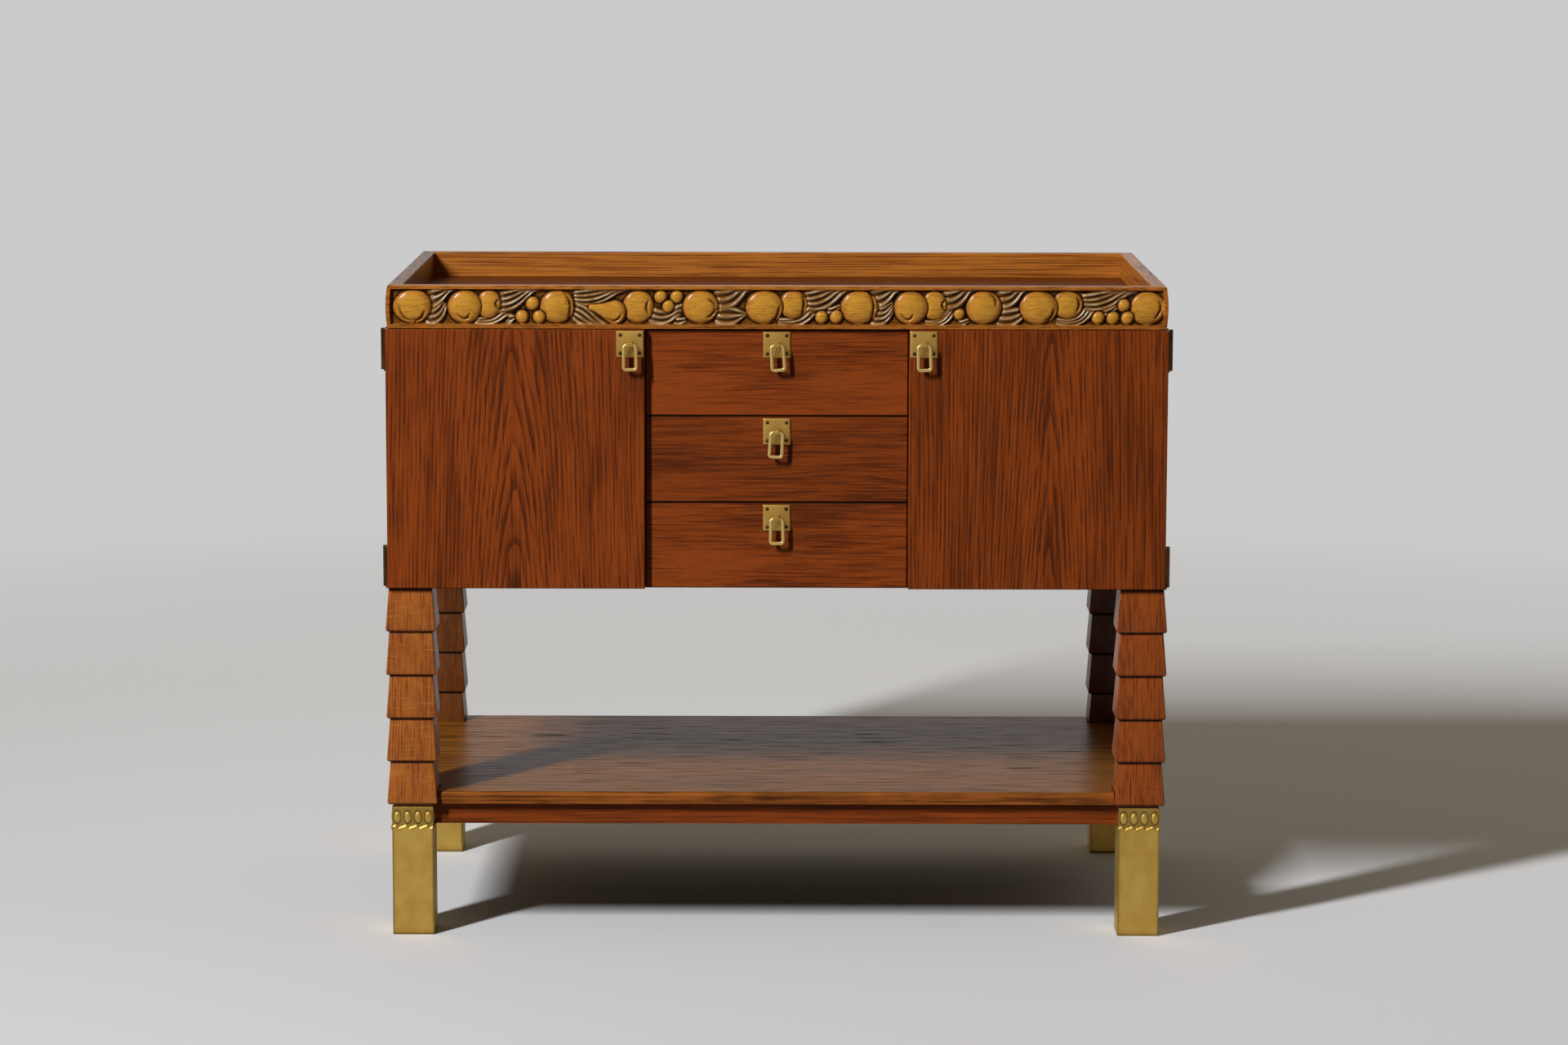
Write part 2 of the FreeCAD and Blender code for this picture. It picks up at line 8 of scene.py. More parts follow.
import bmesh
import bpy
import numpy as np
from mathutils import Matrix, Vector

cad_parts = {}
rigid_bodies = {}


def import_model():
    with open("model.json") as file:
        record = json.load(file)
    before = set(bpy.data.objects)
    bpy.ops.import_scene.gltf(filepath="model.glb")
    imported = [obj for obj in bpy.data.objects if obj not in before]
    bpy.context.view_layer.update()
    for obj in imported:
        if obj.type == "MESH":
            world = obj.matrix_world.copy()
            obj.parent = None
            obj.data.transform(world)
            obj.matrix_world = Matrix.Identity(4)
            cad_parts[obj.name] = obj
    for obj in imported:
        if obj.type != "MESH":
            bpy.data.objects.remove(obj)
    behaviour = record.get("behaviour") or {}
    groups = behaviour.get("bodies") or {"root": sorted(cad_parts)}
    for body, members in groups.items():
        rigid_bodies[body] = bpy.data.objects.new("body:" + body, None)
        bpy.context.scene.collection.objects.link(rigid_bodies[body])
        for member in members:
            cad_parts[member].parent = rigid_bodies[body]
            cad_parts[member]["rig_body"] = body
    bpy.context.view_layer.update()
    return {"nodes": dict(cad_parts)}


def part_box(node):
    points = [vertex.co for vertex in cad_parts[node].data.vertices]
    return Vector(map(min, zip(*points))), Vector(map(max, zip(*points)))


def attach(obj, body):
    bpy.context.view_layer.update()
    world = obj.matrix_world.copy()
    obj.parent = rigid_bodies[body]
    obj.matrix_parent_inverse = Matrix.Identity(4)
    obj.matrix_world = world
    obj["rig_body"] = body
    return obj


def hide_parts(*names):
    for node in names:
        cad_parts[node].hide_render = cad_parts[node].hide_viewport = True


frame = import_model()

bl_info = {
    "name": "Side Cabinet Looks",
    "version": (1, 0, 0),
    "blender": (4, 5, 0),
    "location": "3D View > Sidebar > Cabinet",
    "description": "Dresses the cabinet's solids in oak, carving and brass, and sets a plain stage",
    "category": "Object",
}

MM = 0.001

# Thickness of the pulls' plates, in millimetres
PLATE_THICKNESS = 2.2

# Section of the gallery rails, in millimetres
RAIL_THICKNESS = 16.5
RAIL_LIP = 9.0
RAIL_BULGE = 1.8
RAIL_ROUND = 2.0
RAIL_INNER_DROP = 31.5  # from the top of a rail down to the tray's floor
FIELD_BORDER = 4.6
FIELD_STRETCH = 1.04  # the carving is this much taller than it was drawn
FIELD_DEPTH = 4.5

# Fruits of the carving, places in millimetres from the middle of the field: x, z, half width, half height,
# then the creases, each a curve from its start past a bend to its end, in shares of the half sizes
FRONT_FRUITS = (
    (-435.0, 0.2, 23.2, 19.5, (
        ((-0.64, -0.02), (-0.58, -0.74), (-0.08, -0.84)),
        ((0.64, -0.25), (0.52, -0.76), (0.14, -0.84)),
    )),
    (-372.5, -0.2, 20.4, 19.5, (
        ((-0.38, -0.44), (0.06, -0.98), (0.30, -0.40)),
    )),
    (-262.1, 0.2, 20.6, 19.5, (
        ((0.34, 0.88), (0.98, 0.30), (0.66, -0.72)),
    )),
    (-91.1, 0.2, 21.4, 19.5, (
        ((0.44, 0.46), (0.72, 0.28), (0.82, 0.08)),
        ((0.40, -0.62), (0.72, -0.44), (0.84, -0.16)),
    )),
    (-14.9, 0.0, 22.4, 19.6, (
        ((0.80, 0.04), (0.74, -0.52), (0.46, -0.84)),
    )),
    (98.4, 0.0, 22.4, 19.6, (
        ((0.50, 0.86), (0.98, 0.22), (0.58, -0.86)),
    )),
    (159.9, -0.4, 20.4, 19.4, (
        ((-0.54, -0.40), (-0.14, -0.98), (0.12, -0.42)),
    )),
    (246.9, 0.0, 21.4, 19.6, (
        ((0.34, 0.82), (0.74, 0.56), (0.66, 0.14)),
    )),
    (312.3, 0.0, 23.2, 19.6, (
        ((0.78, -0.10), (0.72, -0.50), (0.46, -0.78)),
    )),
    (442.6, -0.2, 21.2, 19.5, (
        ((0.64, 0.36), (0.84, -0.06), (0.42, -0.58)),
    )),
)
BACK_FRUITS = (
    (-344.0, 3.0, 14.6, 16.6, (((0.84, 0.28), (0.36, 0.02), (0.86, -0.34)),)),
    (-165.5, 0.4, 18.4, 19.0, (((0.66, 0.34), (0.42, -0.04), (0.66, -0.46)),)),
    (19.5, 3.2, 16.4, 16.6, (((0.66, 0.60), (0.92, 0.02), (0.62, -0.66)),)),
    (188.0, 2.4, 14.8, 17.0, (((0.84, 0.32), (0.40, 0.02), (0.86, -0.36)),)),
    (347.0, 3.6, 18.0, 16.4, (((0.62, 0.50), (0.88, 0.02), (0.58, -0.46)),)),
)
PEAR_BODY = (-193.5, -6.2, 14.0)
PEAR_NECK = (-221.0, -0.6, 4.0)
PEAR_CREASE = ((-201.5, -13.5), (-191.5, -20.0), (-185.5, -8.5))
# Dried flower ends beside some creases: x, z
CALYXES = (
    (-433.0, -16.6),
    (-249.5, 5.0),
    (-73.0, -0.8),
    (-4.0, -15.8),
    (117.5, 0.6),
    (322.5, -15.0),
)
# Berries: x, z, radius
BERRIES = (
    (-291.4, 3.7, 8.2),
    (-304.1, -11.6, 7.9),
    (-283.6, -11.6, 7.9),
    (-138.6, 11.8, 7.8),
    (-119.5, 11.8, 7.8),
    (-129.3, 0.6, 7.6),
    (53.4, -11.4, 7.9),
    (71.0, -11.0, 8.0),
    (217.6, -7.6, 6.8),
    (413.9, 2.9, 7.8),
    (383.6, -11.6, 7.9),
    (401.2, -11.6, 7.9),
    (418.6, -11.6, 7.9),
)
# Sprays of leaves, each between an upper and a lower edge: root, bend and tip of both, then how many lobes
SPRAYS = (
    ((-413.5, 18.0), (-402.5, 18.0), (-393.0, 20.5), (-409.5, 0.0), (-397.5, 5.5), (-387.5, 19.0), 3),
    ((-412.0, -5.5), (-403.5, -4.0), (-397.0, 4.5), (-417.5, -19.0), (-396.5, -21.5), (-393.5, 1.0), 3),
    ((-328.0, 15.0), (-314.0, 18.0), (-300.5, 20.0), (-327.5, -4.5), (-303.5, -3.0), (-285.5, 20.0), 4),
    ((-359.0, -13.5), (-338.5, -15.0), (-328.0, -4.5), (-360.0, -18.5), (-332.5, -23.5), (-320.5, -9.5), 3),
    ((-319.5, -10.5), (-316.5, -11.0), (-313.0, -11.0), (-320.5, -18.0), (-316.0, -17.0), (-312.5, -13.5), 2),
    ((-241.5, 17.0), (-218.0, 20.0), (-197.0, 20.5), (-239.5, 4.5), (-207.5, -4.0), (-178.0, 20.5), 4),
    ((-238.0, 2.5), (-221.5, 0.0), (-205.5, -19.0), (-242.5, -13.5), (-237.0, -19.0), (-225.5, -20.0), 4),
    ((-148.0, -2.5), (-130.0, -11.5), (-112.5, 2.0), (-150.5, -16.5), (-128.0, -24.0), (-117.5, -9.5), 3),
    ((-120.5, -13.0), (-116.5, -14.5), (-110.0, -13.5), (-121.5, -19.5), (-116.5, -20.5), (-109.5, -17.0), 2),
    ((-72.0, 17.0), (-58.0, 17.0), (-48.0, 20.0), (-69.5, 1.0), (-46.0, -4.5), (-33.5, 20.5), 3),
    ((-68.5, -3.0), (-52.0, 2.0), (-35.0, -7.0), (-71.0, -17.5), (-50.0, -25.5), (-36.5, -10.0), 3),
    ((35.0, 15.5), (49.5, 19.0), (65.0, 20.5), (37.0, -1.0), (64.5, -8.5), (86.5, 20.5), 4),
    ((2.5, -13.5), (28.0, -16.5), (37.0, -2.5), (2.5, -19.0), (36.0, -26.0), (46.5, -8.0), 3),
    ((61.5, -1.5), (67.0, -2.0), (76.0, 2.0), (60.5, -6.5), (69.0, -5.5), (77.0, -0.5), 2),
    ((114.0, 18.5), (125.5, 19.0), (134.5, 20.5), (120.0, 2.0), (133.5, 2.0), (143.5, 18.5), 3),
    ((122.0, -1.0), (131.5, -1.0), (137.5, 5.5), (114.0, -18.5), (135.5, -24.0), (141.0, -0.5), 4),
    ((201.5, 16.5), (211.5, 17.5), (223.0, 20.0), (202.0, 0.5), (221.5, -3.5), (234.0, 20.0), 3),
    ((178.5, -16.0), (198.5, -18.0), (205.0, -3.0), (178.5, -20.5), (205.5, -25.0), (212.5, -6.0), 3),
    ((218.0, -15.5), (223.0, -16.0), (228.0, -14.0), (217.5, -20.5), (223.0, -21.5), (229.0, -16.5), 2),
    ((266.0, 17.5), (278.0, 17.5), (284.0, 20.0), (269.0, 1.0), (286.0, 1.0), (296.0, 19.5), 3),
    ((269.0, -5.0), (284.0, -3.0), (295.0, -2.0), (266.0, -20.0), (286.0, -25.5), (297.0, -9.5), 3),
    ((366.5, 14.0), (387.0, 16.5), (405.0, 19.5), (369.0, -1.0), (401.5, -6.5), (428.0, 19.5), 4),
    ((335.5, -13.0), (362.5, -18.0), (367.5, -2.5), (334.5, -18.0), (368.5, -27.5), (378.0, -4.5), 3),
    ((390.0, -3.5), (397.0, -3.0), (405.0, 2.0), (389.0, -9.0), (399.0, -6.0), (406.5, -0.5), 2),
)


def linear(code):
    """Linear colour of an sRGB hex value."""
    channels = [int(code[start:start + 2], 16) / 255 for start in (1, 3, 5)]
    return [c / 12.92 if c <= 0.04045 else ((c + 0.055) / 1.055) ** 2.4 for c in channels]


def colour(name, description, code):
    """Colour that a user may change."""
    return bpy.props.FloatVectorProperty(
        name=name, description=description, subtype="COLOR", min=0.0, max=1.0, default=linear(code)
    )


def length(name, description, size):
    """Length that a user may change, given in millimetres."""
    return bpy.props.FloatProperty(
        name=name, description=description, unit="LENGTH", min=0.0, default=size * MM
    )


def vector(name, description, default, kind="TRANSLATION"):
    """Place in metres, or turn, that a user may change."""
    unit = "LENGTH" if kind == "TRANSLATION" else "NONE"
    return bpy.props.FloatVectorProperty(
        name=name, description=description, subtype=kind, unit=unit, default=default
    )


# Kinds of oak: where each is found, then its late wood, early wood and open pores
OAKS = {
    "door": ("doors, case and aprons", "#a34b17", "#672b0a", "#210d04"),
    "drawer": ("drawer fronts", "#a34b17", "#672b0a", "#210d04"),
    "gallery": ("gallery rails", "#bf7427", "#7a3c0e", "#3a1b08"),
    "honey": ("carved fruits", "#e2a138", "#c08026", "#74461a"),
    "tray": ("tray's floor", "#7a3c0e", "#672b0a", "#210d04"),
    "left": ("left legs", "#c26d29", "#8a4213", "#67341a"),
    "right": ("right legs", "#aa5115", "#5c2507", "#67341a"),
    "shelf": ("shelf", "#a85e28", "#6c3c18", "#241307"),
    "inner": ("unpolished insides", "#b58f5c", "#92703f", "#5c4424"),
}
GRAIN = {"light": "Late wood", "dark": "Early wood", "pore": "Open pores"}
# Metals: where each is found, then its rubbed skin, its aged skin and the patina in its recesses
METALS = {
    "plate": ("pulls' plates", "#c5a155", "#ab843f", "#4a391a"),
    "ring": ("rings and catches", "#eed08a", "#d0ad68", "#4a391a"),
    "shoe": ("shoes", "#d6b35d", "#c29947", "#4a391a"),
    "bronze": ("hinges and pins", "#6a4a2e", "#261a12", "#261a12"),
}
SKIN = {"bright": "Rubbed skin", "tarnish": "Aged skin", "recess": "Dark patina"}


def tone_settings(kinds, tones):
    """Colours of every kind of a wood or metal, as settings."""
    return {
        f"{kind}_{tone}": colour(f"{kind} {tone}".capitalize(), f"{what} of the {where}", code)
        for kind, (where, *codes) in kinds.items()
        for (tone, what), code in zip(tones.items(), codes)
    }


class OakSettings(bpy.types.PropertyGroup):
    """Tones of the oak boards."""

    __annotations__ = tone_settings(OAKS, GRAIN)
    ray: colour("Ray", "Flecks of the rays on the quarter-sawn legs", "#d08e3c")


class CarvingSettings(bpy.types.PropertyGroup):
    """Relief of the carved rail."""

    step: length("Step", "Spacing of the relief's points", 0.75)
    fruit_height: length("Fruit height", "How far the front fruits stand out of the ground", 6.0)
    back_height: length("Back fruit height", "How far the fruits behind them stand out", 4.6)
    berry_height: length("Berry height", "How far the berries stand out", 4.6)
    leaf_height: length("Leaf height", "How far the leaf lobes stand out", 4.4)
    crease_depth: length("Crease depth", "Depth of the cuts in the fruits", 2.6)
    crease_width: length("Crease width", "Half width of the cuts in the fruits", 1.3)
    ground_roughness: length("Ground roughness", "Depth of the punch marks on the ground", 0.35)
    # Dark wax in the recesses, which the hollow mask also lays on as painted shade
    recess: colour("Recess", "Dark wax left in the recesses", "#100d06")
    leaf: colour("Leaf", "Olive stain on the leaves", "#7a5219")
    # Painted highlight on the leaves' ridges
    crest: colour("Crest", "Rubbed ridges of the leaves", "#f2e0b0")


class BrassSettings(bpy.types.PropertyGroup):
    """Tones of the metal."""

    __annotations__ = tone_settings(METALS, SKIN)


class ShoeSettings(bpy.types.PropertyGroup):
    """Cast sleeves on the legs' feet."""

    corner: length("Corner", "Rounding of the sleeve's upright edges", 1.0)
    step: length("Step", "Spacing of the ornament's points", 0.8)
    egg_width: length("Egg width", "Width of an egg in the ornament", 7.6)
    egg_length: length("Egg length", "Height of an egg in the ornament", 13.4)
    egg_height: length("Egg relief", "How far an egg stands out of the ground", 2.0)
    egg_level: length("Egg level", "Height of the eggs' middles over the floor", 146.0)
    cord_level: length("Cord level", "Height of the wavy cord over the floor", 133.0)
    cord_swing: length("Cord swing", "How far the cord waves up and down", 1.7)
    cord_width: length("Cord width", "Width of the wavy cord", 2.8)
    cord_height: length("Cord relief", "How far the cord stands out", 1.6)
    waves: bpy.props.IntProperty(name="Waves", description="Eggs and waves on each face", default=4, min=1)


class PullSettings(bpy.types.PropertyGroup):
    """Plates, pins and hanging rings of the pulls."""

    bevel: length("Plate bevel", "Width of the sloping edge of a plate", 1.5)
    ring_strap: length("Ring strap", "Width of a ring's strap", 4.2)
    ring_thickness: length("Ring thickness", "Depth of a ring's strap", 3.4)
    ring_shoulder: length("Ring shoulder", "Rounding of a ring's upper corners", 4.4)
    ring_corner: length("Ring corner", "Rounding of a ring's lower corners", 3.0)
    pin_radius: length("Pin radius", "Radius of a pin's round head", 2.2)
    pin_height: length("Pin height", "Height of a pin's round head", 1.4)


class StageSettings(bpy.types.PropertyGroup):
    """Floor, light and camera."""

    paper_near: colour("Paper near the light", "Pale paper close to the lamp", "#dbdcdd")
    paper_far: colour("Paper away from the light", "Pale paper far from the lamp", "#eff0f1")
    # Painted shade: the paper's colour for light that it bounces onto the cabinet
    paper_bounce_shade: colour("Flagged paper", "What the cabinet gets of the paper's light", "#3c3c3b")
    backdrop: colour("Backdrop", "Pale surround behind the cabinet", "#cbcbcb")
    room: colour("Room", "Darker side of the room, in reflections", "#98958e")
    back_glow: colour("Back glow", "Soft light from above and behind", "#918777")
    front_glow: colour("Front glow", "Soft light from the dark room in front", "#2a2722")
    lamp_power: bpy.props.FloatProperty(
        name="Lamp power", description="Strength of the softbox", default=10.0
    )
    lamp_tint: colour("Lamp tint", "Colour of the softbox", "#fbfcff")
    lamp_width: length("Lamp width", "Width of the softbox", 200.0)
    lamp_height: length("Lamp height", "Height of the softbox", 1000.0)
    lamp_place: vector("Lamp place", "Where the softbox hangs", (-1.9, -2.22, 2.45))
    camera_place: vector("Camera place", "Where the camera stands", (0.0073, -5.4519, 1.2397))
    camera_turn: vector(
        "Camera turn", "How the camera is turned", (math.radians(82.0), math.radians(-0.129), 0.0), "EULER"
    )
    lens: bpy.props.FloatProperty(name="Lens", description="Focal length in millimetres", default=100.0)


@dataclass(frozen=True)
class Cut:
    """How a board was sawn: its node, the roles of its axes, its number, and what sets its figure apart.

    Places and sizes are in millimetres; lean, arch, figure, cloud and stain are shares.
    """

    node: str
    axes: tuple
    number: int
    heart: float = None
    behind: float = 60.0
    lean: float = 0.02
    arch: float = 0.0
    ring: float = 3.2
    sway: float = 12.0
    figure: float = 0.7
    cloud: float = 0.5
    fibre: float = 150.0
    pore: float = 28.0
    vessel: float = 1.2
    stain: float = 0.7

    def side(self, role):
        """Letter of the axis with a role on the board, and the board's start and end on it in metres."""
        axis = self.axes.index(role)
        low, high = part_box(self.node)
        return "XYZ"[axis], low[axis], high[axis]


def add(tree, kind, inputs=(), out=0, **settings):
    """Add a node, set it up, fill its inputs with values or links, and return one of its outputs."""
    made = tree.nodes.new(kind)
    for name, value in settings.items():
        setattr(made, name, value)
    for key, value in dict(inputs).items():
        if isinstance(value, bpy.types.NodeSocket):
            tree.links.new(value, made.inputs[key])
        else:
            made.inputs[key].default_value = value
    return made.outputs[out] if made.outputs else made


def maths(tree, operation, *values):
    """Result of a sum, product or the like."""
    return add(tree, "ShaderNodeMath", dict(enumerate(values)), operation=operation)


def masked(tree, name):
    """Number that the points of a piece keep under a name."""
    return add(tree, "ShaderNodeAttribute", out="Fac", attribute_name=name)


def blank(name):
    """New material with an empty node tree."""
    material = bpy.data.materials.new(name)
    material.use_nodes = True
    material.node_tree.nodes.clear()
    return material, material.node_tree


def opaque(tone):
    """Red, green and blue with full cover."""
    return (*tone, 1.0)


def tones_of(settings, kind, tones, shade=1.0):
    """Colours of one kind of a wood or metal."""
    found = [getattr(settings, f"{kind}_{tone}") for tone in tones]
    return [opaque(channel * shade for channel in tone) for tone in found]


def pattern(tree, place, size, detail=1.0):
    """Soft patches that measure size, in millimetres, along the three axes of place."""
    scale = [1 / (side * MM) for side in size]
    scaled = add(tree, "ShaderNodeVectorMath", {0: place, 1: scale}, operation="MULTIPLY")
    return add(tree, "ShaderNodeTexNoise", {"Vector": scaled, "Scale": 1.0, "Detail": detail})


def spread(tree, value, low, high, to_low=0.0, to_high=1.0):
    """Value stretched so that low and high become to_low and to_high."""
    inputs = {"Value": value, "From Min": low, "From Max": high, "To Min": to_low, "To Max": to_high}
    return add(tree, "ShaderNodeMapRange", inputs)


def mixed(tree, share, first, second):
    """Colour between two colours."""
    return add(tree, "ShaderNodeMix", {0: share, 6: first, 7: second}, out=2, data_type="RGBA")


# What light has left of the stain's red, green and blue on a board's bleached top
FADED = (0.7, 0.86, 0.5, 1.0)
# What painted shade leaves of them on its bare underside
UNDERSIDE_SHADE = (0.12, 0.2, 0.35, 1.0)
# Upward part of the normal of level faces, from not yet to fully level
FACING_UP = (0.6, 0.9)
FACING_DOWN = (-0.6, -0.9)
# Painted shade in the gaps along the drawers' edges and under the legs' tiers
PAINTED_SHADE_TONE = opaque(linear("#120a03"))
PAINTED_SHADE_STRENGTH = 0.85
# Patches in sawn oak, in millimetres across the board, into it and along it
WANDER_PATCH = (80.0, 80.0, 340.0)
UNEVEN_PATCH = (30.0, 30.0, 300.0)
CLOUD_PATCH = (45.0, 45.0, 210.0)
FIBRE_WIDTH = 2.4  # a few times as wide as real streaks of fibres, so that they show
RAY_WAVE_PATCH = (34.0, 34.0, 120.0)
RAY_PATCH = (24.0, 24.0, 1.2)
RAY_SWING = 22.0
# How far apart two boards lie in the patches, in metres, so that no two are alike
BOARD_STEP = (0.37, 0.53, 0.71)
# How far from the heart the rings climb, and how long a ring keeps its strength, in metres
ARCH_REACH = 0.07
RING_STRETCH = 0.05
ARCH_POWER = 1.5  # below two, which points the arches
RING_UNEVENNESS = 1.8  # in rings
HEART_STRENGTH = 0.45  # share of the rings' strength that is lost far from the heart
FIBRE_STRENGTH = 1.3
MEAN_CLOUD = 0.25
# Two values of a pattern, then what they become
EARLY_WOOD = (0.0, 0.7, 1.0, 0.0)
RING_STRENGTH = (0.36, 0.62, 0.15, 1.0)
OPEN_PORES = (0.48, 0.64)
PORES_IN_EARLY_WOOD = (0.0, 0.8, 0.2, 1.0)
TONE_RANGE = (0.83, 1.29)
RAY_EDGE = (0.6, 0.72)


def oak_grain(tree, cut, light, dark, pore):
    """Colour of a sawn oak face, how open its pores are, and the place on the board."""
    across, left, right = cut.side("across")
    depth, front, back = cut.side("depth")
    along, start, end = cut.side("along")
    heart = (left + right) / 2 if cut.heart is None else cut.heart * MM
    behind = cut.behind * MM - (front + back) / 2
    middle = (start + end) / 2
    sway = cut.sway * MM
    place = add(tree, "ShaderNodeTexCoord", out="Object")
    axes = add(tree, "ShaderNodeSeparateXYZ", {0: place}).node.outputs
    sides = {"X": axes[across], "Y": axes[depth], "Z": axes[along]}
    board = add(tree, "ShaderNodeCombineXYZ", sides)
    apart = [step * cut.number for step in BOARD_STEP]
    board = add(tree, "ShaderNodeVectorMath", {0: board, 1: apart}, operation="ADD")
    # The heart wanders sideways and leans, so the rings show as arches on a flat face
    wander = pattern(tree, board, WANDER_PATCH)
    offset = maths(tree, "MULTIPLY_ADD", wander, 2 * sway, -heart - sway)
    side = maths(tree, "ADD", axes[across], offset)
    sunk = maths(tree, "MULTIPLY_ADD", axes[along], cut.lean, behind - cut.lean * middle)
    sunk = maths(tree, "ADD", axes[depth], sunk)
    powers = [maths(tree, "POWER", maths(tree, "ABSOLUTE", part), ARCH_POWER) for part in (side, sunk)]
    radius = maths(tree, "POWER", maths(tree, "ADD", *powers), 1 / ARCH_POWER)
    # Close to the heart the rings climb along the board, and further off they run straight
    far = maths(tree, "MULTIPLY", side, 1 / ARCH_REACH)
    far = maths(tree, "MULTIPLY_ADD", far, far, 1.0)
    climb = maths(tree, "MULTIPLY_ADD", axes[along], cut.arch, -cut.arch * middle)
    radius = maths(tree, "ADD", radius, maths(tree, "DIVIDE", climb, far))
    uneven = pattern(tree, board, UNEVEN_PATCH, detail=4.0)
    uneven = maths(tree, "MULTIPLY", uneven, RING_UNEVENNESS)
    rings = maths(tree, "MULTIPLY_ADD", radius, 1 / (cut.ring * MM), uneven)
    early = spread(tree, maths(tree, "FRACT", rings), *EARLY_WOOD)
    # Each ring is strong in some years and along some stretches, and hardly shows in others
    stretch = maths(tree, "MULTIPLY", axes[along], 1 / RING_STRETCH)
    years = add(tree, "ShaderNodeCombineXYZ", {"X": rings, "Y": stretch})
    strong = add(tree, "ShaderNodeTexNoise", {"Vector": years, "Scale": 1.0, "Detail": 2.0})
    early = maths(tree, "MULTIPLY", early, spread(tree, strong, *RING_STRENGTH))
    calm = maths(tree, "DIVIDE", HEART_STRENGTH, far)
    calm = maths(tree, "ADD", calm, 1 - HEART_STRENGTH)
    early = maths(tree, "MULTIPLY", early, calm)
    # Real pores are about 0.3 mm wide, and are drawn several times as wide so that they show
    pores = spread(tree, pattern(tree, board, (cut.vessel, cut.vessel, cut.pore)), *OPEN_PORES)
    pores = maths(tree, "MULTIPLY", pores, spread(tree, early, *PORES_IN_EARLY_WOOD))
    fibre = pattern(tree, board, (FIBRE_WIDTH, FIBRE_WIDTH, cut.fibre), detail=2.0)
    cloud = pattern(tree, board, CLOUD_PATCH, detail=2.0)
    cloud = maths(tree, "MULTIPLY_ADD", cloud, cut.cloud, MEAN_CLOUD - cut.cloud / 2)
    tone = maths(tree, "MULTIPLY_ADD", fibre, FIBRE_STRENGTH, cloud)
    tone = maths(tree, "MULTIPLY_ADD", early, cut.figure, tone)
    face = mixed(tree, spread(tree, tone, *TONE_RANGE), light, dark)
    stained = spread(tree, pores, 0.0, 1.0, 0.0, cut.stain)
    return mixed(tree, stained, face, pore), pores, board


def wood_finish(tree, face, pores, rough, coat=0.0, shine=0.25):
    """Shellacked or bare wood: pores stay open and dull, the rest takes the polish."""
    pore_dullness = 0.3
    pore_dent = {"Height": pores, "Strength": 0.6, "Distance": 0.4 * MM}
    shader = {
        "Base Color": face,
        "Roughness": spread(tree, pores, 0.0, 1.0, rough, rough + pore_dullness),
        "Specular IOR Level": shine,
        "Normal": add(tree, "ShaderNodeBump", pore_dent, invert=True),
        "Coat Weight": coat,
        "Coat Roughness": 0.18,
    }
    add(tree, "ShaderNodeOutputMaterial", {"Surface": add(tree, "ShaderNodeBsdfPrincipled", shader)})


def edge_shade(tree, face, cut, edge):
    """Colour of a face with painted shade along the board's edges, standing for the shade in the gaps between
    boards, over as many millimetres as edge says.
    """
    place = add(tree, "ShaderNodeTexCoord", out="Object")
    axes = add(tree, "ShaderNodeSeparateXYZ", {0: place}).node.outputs
    room = []
    for role in ("across", "along"):
        axis, low, high = cut.side(role)
        off = maths(tree, "ABSOLUTE", maths(tree, "ADD", axes[axis], -(low + high) / 2))
        room.append(maths(tree, "SUBTRACT", (high - low) / 2, off))
    nearest = maths(tree, "MINIMUM", *room)
    shaded = spread(tree, nearest, edge / 2 * MM, 3 * edge / 2 * MM, PAINTED_SHADE_STRENGTH, 0.0)
    return mixed(tree, shaded, face, PAINTED_SHADE_TONE)


def planed_oak(name, cut, tones, rough, shine, fade_and_shade=False, edge=0.0):
    """Planed and stained oak under shellac: dark pores in rings, a satin sheen, red lost to light on the top,
    and painted shade on the underside.
    """
    material, tree = blank(name)
    if fade_and_shade:
        normal = add(tree, "ShaderNodeNewGeometry", out="Normal")
        upright = add(tree, "ShaderNodeSeparateXYZ", {0: normal}, out="Z")
        fresh = tones
        # Faces turned up lose red to light, and faces turned down get painted shade
        for facing, left in ((FACING_UP, FADED), (FACING_DOWN, UNDERSIDE_SHADE)):
            turned = spread(tree, upright, *facing)
            facing_tones = [[channel * share for channel, share in zip(tone, left)] for tone in fresh]
            tones = [mixed(tree, turned, tone, facing_tone) for tone, facing_tone in zip(tones, facing_tones)]
    face, pores, _ = oak_grain(tree, cut, *tones)
    # Painted shade in the gaps at the board's edges
    if edge:
        face = edge_shade(tree, face, cut, edge)
    wood_finish(tree, face, pores, rough, shine=shine)
    return material


def quarter_oak(name, cut, tones, ray, ray_strength):
    """Quarter-sawn oak: the rays show as pale wavy flecks across the grain."""
    material, tree = blank(name)
    face, pores, board = oak_grain(tree, cut, *tones)
    lift = maths(tree, "MULTIPLY", pattern(tree, board, RAY_WAVE_PATCH), RAY_SWING * MM)
    lift = add(tree, "ShaderNodeCombineXYZ", {"Z": lift})
    lifted = add(tree, "ShaderNodeVectorMath", {0: board, 1: lift}, operation="ADD")
    flecks = spread(tree, pattern(tree, lifted, RAY_PATCH), *RAY_EDGE, 0.0, ray_strength)
    face = mixed(tree, flecks, face, opaque(ray))
    # Painted shade under each tier's lip and at the top of the tier below, from the hollow marks
    shaded = spread(tree, masked(tree, "hollow"), 0.0, 1.0, 0.0, PAINTED_SHADE_STRENGTH)
    wood_finish(tree, mixed(tree, shaded, face, PAINTED_SHADE_TONE), pores, rough=0.4, coat=0.1)
    return material


